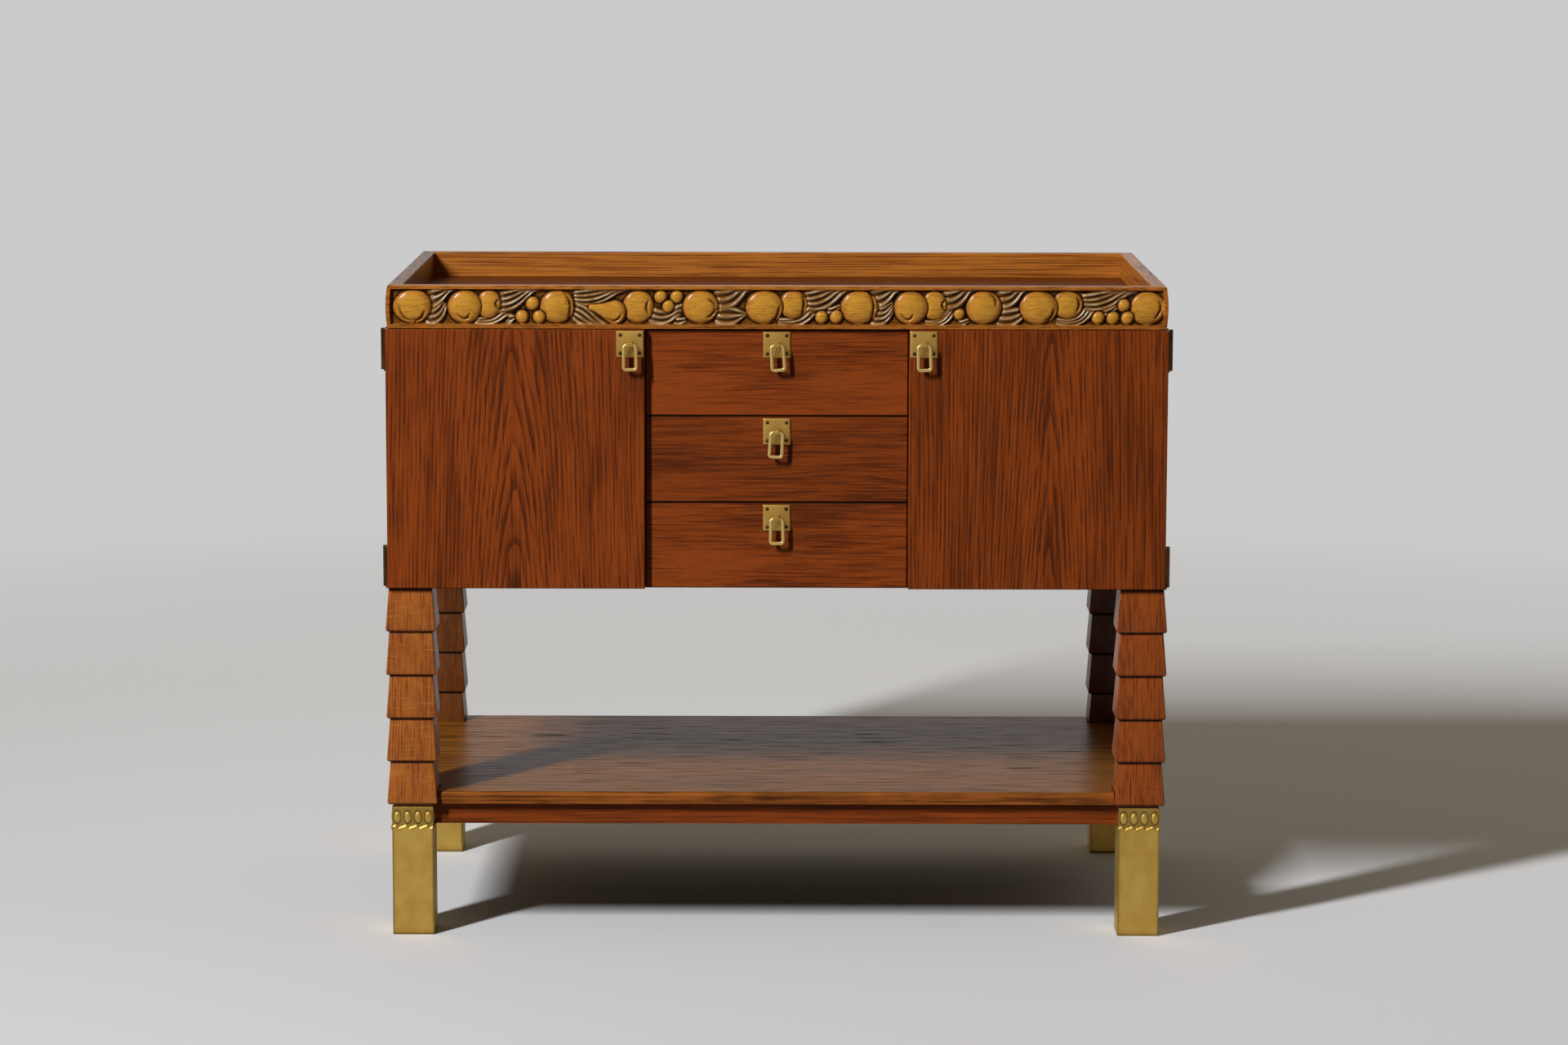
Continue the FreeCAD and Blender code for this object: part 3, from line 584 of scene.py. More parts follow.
def carved_oak(name, cut, oak, carving):
    """Carved oak: golden fruits, a painted highlight on the crests, dark wax with painted shade in the
    hollows and on the punched ground.
    """
    material, tree = blank(name)
    fruit, leaf, hollow, crest = (masked(tree, mask) for mask in ("fruit", "leaf", "hollow", "crest"))
    # The crests get a painted highlight that comes and goes in patches about as long as a leaf is wide
    highlight_patch = (11.0, 11.0, 11.0)
    highlight_part = (0.38, 0.6, 0.25, 1.0)
    place = add(tree, "ShaderNodeTexCoord", out="Object")
    highlight_patches = spread(tree, pattern(tree, place, highlight_patch), *highlight_part)
    crest = maths(tree, "MULTIPLY", crest, highlight_patches)
    pairs = zip(tones_of(oak, "gallery", GRAIN), tones_of(oak, "honey", GRAIN))
    tones = [mixed(tree, fruit, plain, golden) for plain, golden in pairs]
    face, pores, _ = oak_grain(tree, cut, *tones)
    # Olive stain on the leaves, dark wax with painted shade in the hollows, and a painted highlight on the
    # crests
    stains = ((leaf, 0.7, carving.leaf), (hollow, 1.0, carving.recess), (crest, 0.8, carving.crest))
    for mask, strength, tone in stains:
        face = mixed(tree, spread(tree, mask, 0.0, 1.0, 0.0, strength), face, opaque(tone))
    # The hollows are dull, and the crests shine
    dull_hollows = (0.0, 0.7, 0.35, 0.0)
    bright_crests = (0.0, 1.0, 0.06, 0.9)
    coat = spread(tree, hollow, *dull_hollows)
    shine = spread(tree, crest, *bright_crests)
    wood_finish(tree, face, pores, 0.3, coat, shine)
    return material


def aged_brass(name, bright, tarnish, recess, rough):
    """Cast brass, once polished: cloudy tarnish, faint rubbing marks and dark patina in the recesses."""
    material, tree = blank(name)
    place = add(tree, "ShaderNodeTexCoord", out="Object")
    tarnish_patch = (20.0, 20.0, 30.0)
    tarnish_part = (0.3, 0.75)
    dull_part = (0.3, 0.7)
    cloud = pattern(tree, place, tarnish_patch, detail=5.0)
    # Rubbing marks are drawn about ten times as wide as real ones so that they show
    rubbing_mark = (1.2, 1.2, 14.0)
    dent = {"Height": pattern(tree, place, rubbing_mark, detail=2.0), "Strength": 0.12, "Distance": 0.2 * MM}
    skin = mixed(tree, spread(tree, cloud, *tarnish_part), bright, tarnish)
    skin = mixed(tree, masked(tree, "hollow"), skin, recess)
    smoother = 0.03
    duller = 0.05
    shader = {
        "Base Color": skin,
        "Metallic": 1.0,
        "Roughness": spread(tree, cloud, *dull_part, rough - smoother, rough + duller),
        "Normal": add(tree, "ShaderNodeBump", dent),
    }
    add(tree, "ShaderNodeOutputMaterial", {"Surface": add(tree, "ShaderNodeBsdfPrincipled", shader)})
    return material


def stage_paper(name, stage):
    """Matt seamless paper that evens out the lamp's light and fades into the surround."""
    # In metres, from the lamp or from the middle of the floor
    near_to_far = (3.4, 5.1)
    bounce_shade_start = (0.3, 0.6)
    paper_ends = (1.7, 3.4)
    material, tree = blank(name)
    place = add(tree, "ShaderNodeTexCoord", out="Object")
    from_lamp = {0: place, 1: stage.lamp_place}
    from_lamp = add(tree, "ShaderNodeVectorMath", from_lamp, out="Value", operation="DISTANCE")
    even = spread(tree, from_lamp, *near_to_far)
    sheet = mixed(tree, even, opaque(stage.paper_near), opaque(stage.paper_far))
    # For light bounced off it, the paper away from the middle of the floor takes a darker colour: painted
    # shade that keeps most of the paper's light off the cabinet, as dark flags round the set would
    away = add(tree, "ShaderNodeVectorMath", {0: place}, out="Value", operation="LENGTH")
    bounced = add(tree, "ShaderNodeLightPath", out="Is Diffuse Ray")
    bounced = maths(tree, "MULTIPLY", bounced, spread(tree, away, *bounce_shade_start))
    sheet = mixed(tree, bounced, sheet, opaque(stage.paper_bounce_shade))
    paper = {"Base Color": sheet, "Roughness": 0.95, "Specular IOR Level": 0.1}
    shaders = {
        0: spread(tree, away, *paper_ends),
        1: add(tree, "ShaderNodeBsdfPrincipled", paper),
        2: add(tree, "ShaderNodeBsdfTransparent"),
    }
    add(tree, "ShaderNodeOutputMaterial", {"Surface": add(tree, "ShaderNodeMixShader", shaders)})
    return material


def piece(name, points, faces, material, soft_angle=40.0):
    """Mesh object in the cabinet's frame, from points in millimetres."""
    mesh = bpy.data.meshes.new(name)
    mesh.from_pydata(np.asarray(points, float) * MM, [], faces)
    shell = bmesh.new()
    shell.from_mesh(mesh)
    bmesh.ops.recalc_face_normals(shell, faces=shell.faces)
    shell.to_mesh(mesh)
    shell.free()
    mesh.shade_smooth()
    mesh.set_sharp_from_angle(angle=math.radians(soft_angle))
    mesh.materials.append(material)
    made = bpy.data.objects.new(name, mesh)
    bpy.context.scene.collection.objects.link(made)
    return made


def stands_for(made, node):
    """Let a piece ride on a node's body, in the node's place, and hide the node."""
    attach(made, frame["nodes"][node]["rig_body"])
    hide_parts(node)


def mark(made, name, values):
    """Keep a number for each point of a piece, for its material."""
    kept = made.data.attributes.new(name, "FLOAT", "POINT")
    kept.data.foreach_set("value", np.asarray(values, np.float32).ravel())


def box_mm(node):
    """Lowest and highest corner of a node in millimetres."""
    low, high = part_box(node)
    return low / MM, high / MM


def loft(outlines, ring=False):
    """Skin through outlines of as many points each; a ring closes on itself, the rest gets capped ends."""
    count = len(outlines[0])
    rows = len(outlines)
    faces = []
    for row in range(rows if ring else rows - 1):
        low = row * count
        high = (row + 1) % rows * count
        for here in range(count):
            there = (here + 1) % count
            faces.append((low + here, low + there, high + there, high + here))
    if not ring:
        faces.append(tuple(range(count)))
        faces.append(tuple(range((rows - 1) * count, rows * count)))
    return np.concatenate(outlines), faces


def joined(lofts):
    """Several lofts as one set of points and faces."""
    points = []
    faces = []
    start = 0
    for some_points, some_faces in lofts:
        points.append(some_points)
        faces += [tuple(corner + start for corner in face) for face in some_faces]
        start += len(some_points)
    return np.concatenate(points), faces


def rounded(corners, radii, steps=5):
    """Closed outline of complex numbers through corners, each rounded by its radius."""
    outline = []
    for index, (corner, radius) in enumerate(zip(corners, radii)):
        back = corners[index - 1] - corner
        ahead = corners[(index + 1) % len(corners)] - corner
        back /= abs(back)
        ahead /= abs(ahead)
        half = abs(cmath.phase(ahead / back)) / 2
        reach = radius / math.tan(half)
        centre = corner + (back + ahead) / abs(back + ahead) * radius / math.sin(half)
        start = corner + back * reach - centre
        turn = cmath.phase((corner + ahead * reach - centre) / start)
        outline += [centre + start * cmath.exp(1j * turn * step / steps) for step in range(steps + 1)]
    return outline


def rectangle(middle, half_width, half_height, radius):
    """Rounded rectangle about a middle point, as complex numbers."""
    sides = (complex(-half_width, -half_height), complex(half_width, -half_height))
    corners = [middle + side for side in (*sides, -sides[0], -sides[1])]
    return rounded(corners, [radius] * len(corners))


def placed(outline, axis, at):
    """Flat outline of complex numbers, as points that share one place on an axis."""
    flat = np.array([(point.real, point.imag) for point in outline])
    return np.insert(flat, "xyz".index(axis), at, axis=1)


def circle(middle, radius, count=20):
    """Round outline about a middle point, as complex numbers."""
    return [middle + radius * cmath.exp(2j * math.pi * step / count) for step in range(count)]


def soften(grid, passes):
    """Grid smoothed by weighing each point with its neighbours."""
    for _ in range(passes):
        for axis in (0, 1):
            padded = np.pad(grid, [(1, 1) if axis == side else (0, 0) for side in (0, 1)], mode="edge")
            before, after = (padded[:-2], padded[2:]) if axis == 0 else (padded[:, :-2], padded[:, 2:])
            grid = (before + 2 * grid + after) / 4
    return grid


def curved(*points, count=48):
    """Points along a curve from the first point to the last, which is drawn towards those between."""
    share = np.linspace(0, 1, count)[:, None]
    points = [np.asarray(point, float) for point in points]
    while len(points) > 1:
        points = [(1 - share) * here + share * there for here, there in zip(points, points[1:])]
    return points[0]


def swept(start, bend, end):
    """Points along a curve that leaves start, bends, and flattens out towards end."""
    flattening = (0.4, 0.95)
    late = [here + (there - here) * share for here, there, share in zip(bend, end, flattening)]
    return curved(start, bend, late, end)


def raise_to(grid, columns, values):
    """Bring some columns of a grid up to the values, where they are lower."""
    grid[:, columns] = np.maximum(grid[:, columns], values)


def to_curve(x, z, curve):
    """Distance of each grid point from a curve, and the number of the nearest point on it."""
    square = (x[None, :, None] - curve[:, 0]) ** 2 + (z[:, None, None] - curve[:, 1]) ** 2
    return np.sqrt(square.min(axis=2)), square.argmin(axis=2)


class Relief:
    """Height over the ground of the carved field, on a grid of x and z in millimetres."""

    def __init__(self, x, z, carving):
        self.x = x
        self.z = z
        self.height = np.zeros((len(z), len(x)))
        self.leaf = np.zeros_like(self.height)
        self.skin = np.zeros_like(self.height)
        self.carving = carving

    def near(self, low, high, margin=4.0):
        """Columns between two places along the rail, and a bit more."""
        return slice(*np.searchsorted(self.x, (low - margin, high + margin)))

    def spray(self, upper, lower, lobes):
        """Leaf whose lobes run side by side between two curved edges, each with a crest."""
        half_share = 0.54
        least_half = 1.1
        end_height = 0.55
        odd_drop = 0.15
        edge_slope = 4
        edge_a = swept(*upper)
        edge_b = swept(*lower)
        both = np.concatenate([edge_a, edge_b])
        columns = self.near(both[:, 0].min(), both[:, 0].max())
        apart = np.linalg.norm(edge_a - edge_b, axis=1) / (lobes - 1)
        half = np.maximum(apart * half_share, least_half)
        swell = np.sin(math.pi * np.linspace(0, 1, len(edge_a)) ** 0.7) ** 0.6
        top = self.carving.leaf_height / MM * (end_height + (1 - end_height) * swell)
        for lobe in range(lobes):
            share = lobe / (lobes - 1)
            gap, nearest = to_curve(self.x[columns], self.z, edge_a * (1 - share) + edge_b * share)
            across = np.clip(1 - gap / half[nearest], 0, 1)
            ridge = top[nearest] * across**0.8 * (1 - odd_drop * (lobe % 2))
            raise_to(self.height, columns, ridge)
            raise_to(self.leaf, columns, np.minimum(across * edge_slope, 1))

    def bulge(self, columns, share, size, height, power):
        """Round form over what lies behind it; share is 0 at its middle and 1 at its outline."""
        groove = 2.0
        left_behind = 0.3
        skin_overlap = 1.15
        behind = self.height[:, columns]
        dim = left_behind + (1 - left_behind) * np.clip((share - 1) * size / groove, 0, 1)
        inside = height * np.clip(1 - share**power, 0, 1) ** 0.5
        self.height[:, columns] = np.where(share < 1, np.maximum(inside, left_behind * behind), behind * dim)
        self.leaf[:, columns] *= np.clip((share - 1) * size, 0, 1)
        # Golden skin that fades to the rail's darker tone towards the outline, as painted shade round the
        # fruit's rim
        raise_to(self.skin, columns, np.clip(skin_overlap * (1 - share**3), 0, 1))

    def fruit(self, x, z, half_width, half_height, creases, height, power=2.1):
        """Round fruit or berry with its creases."""
        columns = self.near(x - half_width, x + half_width)
        across = (self.x[columns] - x) / half_width
        up = (self.z - z) / half_height
        share = np.hypot(across[None, :], up[:, None])
        self.bulge(columns, share, half_width, height, power)
        size = np.array((half_width, half_height))
        for crease in creases:
            self.crease(*(np.array((x, z)) + size * point for point in crease))

    def pear(self):
        """Fruit that tapers from a round body to a neck."""
        body = np.array(PEAR_BODY)
        neck = np.array(PEAR_NECK)
        columns = self.near(neck[0] - neck[2], body[0] + body[2])
        steps = np.linspace(0, 1, 24)
        line = neck[None, :] + (body - neck)[None, :] * steps[:, None]
        line[:, 2] = neck[2] + (body - neck)[2] * steps**1.2
        gap_x = self.x[columns][None, :, None] - line[:, 0]
        gap_z = self.z[:, None, None] - line[:, 1]
        share = (np.hypot(gap_x, gap_z) / line[:, 2]).min(axis=2)
        self.bulge(columns, share, body[2], self.carving.fruit_height / MM, power=3.0)
        self.crease(*PEAR_CREASE)

    def crease(self, start, bend, end):
        """Cut with a steep inner side that dies away at both ends."""
        curve = curved(start, bend, end)
        columns = self.near(curve[:, 0].min(), curve[:, 0].max())
        gap, nearest = to_curve(self.x[columns], self.z, curve)
        near_end = 0.06
        fade = np.sin(math.pi * np.linspace(near_end, 1 - near_end, len(curve))) ** 0.5
        cut = np.exp(-((gap / (self.carving.crease_width / MM)) ** 2)) * fade[nearest]
        self.height[:, columns] -= self.carving.crease_depth / MM * cut

    def calyx(self, x, z):
        """Dried flower end: a small knob in a round pit."""
        columns = self.near(x, x)
        pit_depth = 1.1
        pit_radius = 1.9
        pit_width = 0.8
        knob_height = 0.5
        knob_radius = 1.1
        gap = np.hypot((self.x[columns] - x)[None, :], (self.z - z)[:, None])
        pit = pit_depth * np.exp(-(((gap - pit_radius) / pit_width) ** 2))
        self.height[:, columns] += knob_height * np.exp(-((gap / knob_radius) ** 2)) - pit

    def carve(self):
        """Leaves first, then the fruits over them, and punch marks on what is left of the ground."""
        carving = self.carving
        for *edges, lobes in SPRAYS:
            self.spray(edges[:3], edges[3:], lobes)
        for fruit in BACK_FRUITS:
            self.fruit(*fruit, carving.back_height / MM)
        for fruit in FRONT_FRUITS:
            self.fruit(*fruit, carving.fruit_height / MM)
        self.pear()
        for x, z, radius in BERRIES:
            self.fruit(x, z, radius, radius, (), carving.berry_height / MM, power=2.2)
        for place in CALYXES:
            self.calyx(*place)
        self.height = soften(np.maximum(self.height, 0), 1)
        punch_seed = 11
        ground_height = 0.8
        marks = soften(np.random.default_rng(punch_seed).random(self.height.shape), 1) - 0.5
        bare = np.clip(1 - self.height / ground_height, 0, 1)
        self.height += 2 * carving.ground_roughness / MM * marks * bare


def rail_sides(top, low):
    """Section of a rail behind its face, from the upper front edge round to the lower: depth, height."""
    turn = [math.radians(angle) for angle in (30, 60, 90)]
    front = [(RAIL_ROUND * (1 - math.cos(a)), top - RAIL_ROUND * (1 - math.sin(a))) for a in turn]
    back = [(RAIL_THICKNESS - depth, height) for depth, height in reversed(front)]
    floor = top - RAIL_INNER_DROP
    return front + back + [
        (RAIL_THICKNESS, top - RAIL_ROUND),
        (RAIL_THICKNESS, floor),
        (RAIL_LIP, floor),
        (RAIL_LIP, low),
    ]


def carved_rail(carving, material):
    """Front rail of the tray, with fruit and leaves in a sunk field."""
    low, high = box_mm("carved_front_rail")
    front_y = high.y - RAIL_THICKNESS
    half_length = high.x - RAIL_BULGE
    shoulder = high.z - RAIL_ROUND
    middle_z = (low.z + high.z) / 2
    step = carving.step / MM
    x = np.linspace(-half_length, half_length, int(2 * half_length / step) + 1)
    z = np.linspace(low.z, shoulder, int((shoulder - low.z) / step) + 1)
    relief = Relief(x, (z - middle_z) / FIELD_STRETCH, carving)
    relief.carve()
    field_half_height = (high.z - low.z) / 2 - FIELD_BORDER
    to_side = half_length - FIELD_BORDER - np.abs(x)
    to_edge = field_half_height - np.abs(z - middle_z)
    inside = np.clip(np.minimum(to_side[None, :], to_edge[:, None]), 0, 1)
    span = (shoulder - low.z) / 2
    bow = -RAIL_BULGE * (1 - ((z - low.z - span) / span) ** 2)
    depth = bow[:, None] * (1 - inside) + (FIELD_DEPTH - relief.height) * inside
    lines = [(bow[row], depth[row], z[row]) for row in range(len(z))]
    lines += [(behind, np.full_like(x, behind), height) for behind, height in rail_sides(high.z, low.z)]
    rows = []
    for mitre, behind, height in lines:
        shrink = (half_length - mitre) / half_length
        rows.append(np.column_stack([x * shrink, front_y + behind, np.full_like(x, height)]))
    # The rows run along the rail, so the loft goes across it and its two ends are the mitres
    stations = np.stack(rows, axis=1)
    made = piece("carved_rail", *loft(list(stations)), material, soft_angle=75.0)
    # Dark wax with painted shade fills what lies low and part of the ground, and the leaves' crests get a
    # painted highlight
    hollow_depth = 0.9
    ground_height = 1.4
    ground_wax_and_shade = 0.55
    crest_height = 0.75
    hollow = np.clip((soften(relief.height, 10) - relief.height) / hollow_depth, 0, 1)
    bare = np.clip(1 - relief.height / ground_height, 0, 1)
    hollow = np.clip(hollow + ground_wax_and_shade * bare, 0, 1) * inside
    crest = np.clip((relief.height - soften(relief.height, 6)) / crest_height, 0, 1) ** 1.5
    crest = crest * relief.leaf * inside
    plain = np.zeros((len(rows) - len(z), len(x)))
    masks = {"hollow": hollow, "crest": crest, "leaf": relief.leaf * inside, "fruit": relief.skin * inside}
    for name, values in masks.items():
        mark(made, name, np.concatenate([values, plain]).T)
    return made


def tier_rings(low, high, top_half, bottom_half, worn):
    """Outlines of one tier of a leg, from its rounded lower edge up: half width, height, share of painted
    shade.
    """
    clean = 3.2
    neck_in = 0.6
    neck_out = 0.15
    rings = [(top_half - worn, low, 1.0)]
    for angle, shading in ((-90, 1.0), (-60, 0.8), (-30, 0.35), (0, 0.0)):
        turn = math.radians(angle)
        rings.append((bottom_half - worn * (1 - math.cos(turn)), low + worn * (1 + math.sin(turn)), shading))
    rise = (high - clean - low - worn) / (high - low - worn)
    rings.append((bottom_half + (top_half - bottom_half) * rise, high - clean, 0.0))
    rings.append((top_half + neck_out, high - neck_in, 0.9))
    rings.append((top_half - neck_in, high, 1.0))
    return rings


def stepped_leg(node, material, seed):
    """Leg of five flaring tiers with softly worn edges, on a square foot."""
    wood_low, wood_high = box_mm(node)
    _, shoe_high = box_mm(node.replace("leg", "shoe"))
    middle = complex((wood_low.x + wood_high.x) / 2, (wood_low.y + wood_high.y) / 2)
    bottom_half = (wood_high.x - wood_low.x) / 2
    tenon_length = 12.0
    tier_count = 5
    neck = 3.0
    slant = 4.0
    worn = 3.4
    worn_from_to = (0.85, 1.1)
    foot_half = 23.3
    tenon_half = 10.0
    case_z = wood_high.z - tenon_length
    shelf_z = shoe_high.z + neck
    pitch = (case_z - shelf_z) / tier_count
    chance = np.random.default_rng(seed)
    rings = [(foot_half, wood_low.z, 0.0), (foot_half, shelf_z, 0.0)]
    for tier in range(tier_count):
        rub = worn * chance.uniform(*worn_from_to)
        start = shelf_z + tier * pitch
        rings += tier_rings(start, start + pitch, bottom_half - slant, bottom_half, rub)
    rings += [(tenon_half, case_z, 0.0), (tenon_half, wood_high.z, 0.0)]
    arris = 1.6
    outlines = [placed(rectangle(middle, half, half, arris), "z", z) for half, z, _ in rings]
    made = piece(node.replace("leg", "stepped_leg"), *loft(outlines), material, soft_angle=50.0)
    # Painted shade under each tier's lip, kept for each outline
    mark(made, "hollow", np.repeat([shading for _, _, shading in rings], len(outlines[0])))
    return made


def sleeve_height(along, z, shoe, half):
    """Relief of a shoe's face in millimetres and how dirty it is, at a place along it and a height."""
    ground_depth = 0.7
    ground_top = 158.2
    trench_place = 1.2  # in half sizes of an egg, as is the next
    trench_width = 0.16
    trench_depth = 0.35
    wave_lean = 0.7
    cord_blend = 1.5
    egg_foot = 0.5
    flat_dirt = 0.45
    pitch = 2 * half / shoe.waves
    from_middle = (along + half) % pitch - pitch / 2
    up = z - shoe.egg_level / MM
    egg = np.hypot(from_middle / (shoe.egg_width / MM / 2), up / (shoe.egg_length / MM / 2))
    dome = shoe.egg_height / MM * np.sqrt(np.clip(1 - egg**2.4, 0, 1))
    trench = np.exp(-(((egg - trench_place) / trench_width) ** 2))
    turn = 2 * math.pi * (along + half) / pitch
    wave = shoe.cord_level / MM + shoe.cord_swing / MM * np.sin(turn - wave_lean * np.sin(turn))
    cord = np.clip(1 - ((z - wave) / (shoe.cord_width / MM / 2)) ** 2, 0, 1)
    above = np.clip((z - wave) / cord_blend, 0, 1) * np.clip(ground_top - z, 0, 1)
    eggs = dome - (ground_depth + trench_depth * trench) * above
    ornament = np.maximum(eggs, shoe.cord_height / MM * np.sqrt(cord))
    bare = above * np.clip(1 - dome / egg_foot, 0, 1) * (cord <= 0)
    return ornament, bare * (flat_dirt + (1 - flat_dirt) * trench)


def shoe_sleeve(node, shoe, material, seed):
    """Cast sleeve with a row of eggs over a wavy cord, and a plain lower part that has seen some knocks."""
    _, high = box_mm(node)
    leg_low, leg_high = box_mm(node.replace("shoe", "leg"))
    middle = complex((leg_low.x + leg_high.x) / 2, (leg_low.y + leg_high.y) / 2)
    half = 25.15
    wall = 1.8
    sole = 2.0
    corner = shoe.corner / MM
    step = shoe.step / MM
    foot_round = 0.6
    rim_round = 0.5
    plain_low = 4.0
    plain_top = shoe.cord_level / MM - 5.0
    plain_rows = 24
    ornament_top = high.z - 0.8
    z = np.concatenate([
        (0.0, foot_round),
        np.linspace(plain_low, plain_top, plain_rows),
        np.arange(plain_top + step, ornament_top, step),
        (high.z - rim_round, high.z),
    ])
    inset = np.zeros_like(z)
    inset[0] = foot_round
    inset[-1] = rim_round
    flat = half - corner
    run = np.linspace(-flat, flat, int(2 * flat / step))
    turns = np.linspace(0, math.pi / 2, 5)[1:-1]
    chance = np.random.default_rng(seed)
    dents = soften(chance.random((len(z), 4 * (len(run) + len(turns)))), 14) - 0.5
    grit = soften(chance.random(dents.shape), 1) - 0.5
    columns = []
    hollows = []
    # Darker towards the foot and along the upright edges, and dark patina on the ground of the ornament
    foot_darkening = 0.8
    edge_darkening = 0.5
    ground_dirt = 0.9
    dent_depth = 1.4
    grit_depth = 0.9
    foot_reach = 2.5
    edge_reach = 2.0
    foot = foot_darkening * np.exp(-z / foot_reach)
    for side in range(4):
        facing = 1j ** side
        ornament, bare = sleeve_height(run[:, None], z[None, :], shoe, half)
        edge = np.clip(1 - (flat - np.abs(run)) / edge_reach, 0, 1)
        for place, height, ground, dark in zip(run, ornament, bare, edge):
            columns.append((facing * complex(half, place), facing, height, ground))
            hollows.append(np.maximum(ground_dirt * ground, np.maximum(foot, edge_darkening * dark)))
        for turn in turns:
            out = facing * cmath.exp(1j * turn)
            columns.append((facing * complex(flat, flat) + corner * out, out, ornament[-1], bare[-1]))
            hollows.append(np.maximum(foot, edge_darkening))
    stations = []
    for number, (place, out, height, ground) in enumerate(columns):
        swell = height - inset + dent_depth * dents[:, number] + grit_depth * grit[:, number] * ground
        points = middle + place + out * swell
        stations.append(np.column_stack([points.real, points.imag, z]))
    rings = list(np.stack(stations, axis=1))
    rim = (half - wall) / half
    for height in (high.z, sole):
        rings.append(placed([middle + place * rim for place, *_ in columns], "z", height))
    made = piece(node.replace("shoe", "shoe_sleeve"), *loft(rings), material, soft_angle=60.0)
    inner = np.zeros((2, len(columns)))
    mark(made, "hollow", np.concatenate([np.array(hollows).T, inner]))
    return made


def pull_plate(name, pull, material):
    """Plate with sloping edges and the folded lug that holds the ring."""
    low, high = box_mm("pull_plate_" + name)
    loop_low, loop_high = box_mm("pull_loop_" + name)
    middle = complex((low.x + high.x) / 2, (low.z + high.z) / 2)
    half_width = (high.x - low.x) / 2
    half_height = (high.z - low.z) / 2
    bevel = pull.bevel / MM
    face_y = high.y - PLATE_THICKNESS
    corner = 0.8
    # How far the plate's outline is drawn in, and at what depth, from the back to the face
    profile = (
        (0.0, high.y),
        (0.0, high.y - 0.8),
        (0.25, high.y - 1.15),
        (bevel - 0.15, face_y + 0.1),
        (bevel + 0.25, face_y),
    )
    plate = []
    for inset, y in profile:
        outline = rectangle(middle, half_width - inset, half_height - inset, corner)
        plate.append(placed(outline, "y", y))
    pivot_y = (loop_low.y + loop_high.y) / 2
    nose = 3.1
    nose_radius = 1.5
    root_radius = 0.2
    root_y = face_y + 0.3
    lug_half = 3.3
    worn = 0.35
    lug = []
    for x, shrink in ((-lug_half, worn), (worn - lug_half, 0.0), (lug_half - worn, 0.0), (lug_half, worn)):
        tip = pivot_y - nose + shrink
        root = root_y + shrink
        low_z = middle.imag - nose + shrink
        high_z = middle.imag + nose - shrink
        corners = (complex(tip, low_z), complex(root, low_z), complex(root, high_z), complex(tip, high_z))
        outline = rounded(corners, (nose_radius, root_radius, root_radius, nose_radius))
        lug.append(placed(outline, "x", middle.real + x))
    return piece("pull_backplate_" + name, *joined([loft(plate), loft(lug)]), material)


def pull_pins(name, pull, material):
    """Four pins with round heads, driven through the plate."""
    low, high = box_mm("pull_plate_" + name)
    inset = 5.0
    face_y = high.y - PLATE_THICKNESS
    radius = pull.pin_radius / MM
    height = pull.pin_height / MM
    turns = np.radians((0, 18, 36, 54, 70, 82))
    shank = 0.8
    shank_end = face_y + 6.0
    head_y = face_y + 0.2
    pins = []
    for x in (low.x + inset, high.x - inset):
        for z in (low.z + inset, high.z - inset):
            profile = [(shank, shank_end), (shank, head_y), (radius, head_y)]
            profile += [(radius * math.cos(turn), face_y - height * math.sin(turn)) for turn in turns]
            pins.append(loft([placed(circle(complex(x, z), size), "y", y) for size, y in profile]))
    return piece("pull_pins_" + name, *joined(pins), material)


def pull_ring(name, pull, material, tilt):
    """Ring with rounded shoulders that hangs from the lug."""
    low, high = box_mm("pull_loop_" + name)
    rise = 2.4
    pivot = complex((low.x + high.x) / 2, high.z - rise)
    pivot_y = (low.y + high.y) / 2
    strap = pull.ring_strap / MM / 2
    thick = pull.ring_thickness / MM / 2
    reach = (high.x - low.x) / 2 - strap
    drop = high.z - rise - low.z - strap
    narrow = 0.5
    bar_radius = 1.5
    bar_reach = 3.0
    squareness = 0.72
    corners = (
        complex(-reach, -drop),
        complex(reach, -drop),
        complex(reach - narrow, 0),
        complex(-reach + narrow, 0),
    )
    corner = pull.ring_corner / MM
    shoulder = pull.ring_shoulder / MM
    line = rounded(corners, (corner, corner, shoulder, shoulder), steps=8)
    lean = cmath.exp(1j * math.radians(tilt))
    turns = np.linspace(0, 2 * math.pi, 16, endpoint=False)
    outlines = []
    for index, spot in enumerate(line):
        ahead = line[(index + 1) % len(line)] - line[index - 1]
        out = -1j * ahead / abs(ahead)
        # The bar in the lug's eye is round and thinner than the strap
        bar = np.clip(1 + spot.imag / bar_reach, 0, 1)
        half_strap = strap * (1 - bar) + bar_radius * bar
        half_thick = thick * (1 - bar) + bar_radius * bar
        outline = []
        for turn in turns:
            across = math.copysign(abs(math.cos(turn)) ** squareness, math.cos(turn))
            deep = math.copysign(abs(math.sin(turn)) ** squareness, math.sin(turn))
            point = pivot + lean * (spot + out * half_strap * across)
            outline.append((point.real, pivot_y + half_thick * deep, point.imag))
        outlines.append(np.array(outline))
    return piece("pull_ring_" + name, *loft(outlines, ring=True), material, soft_angle=60.0)


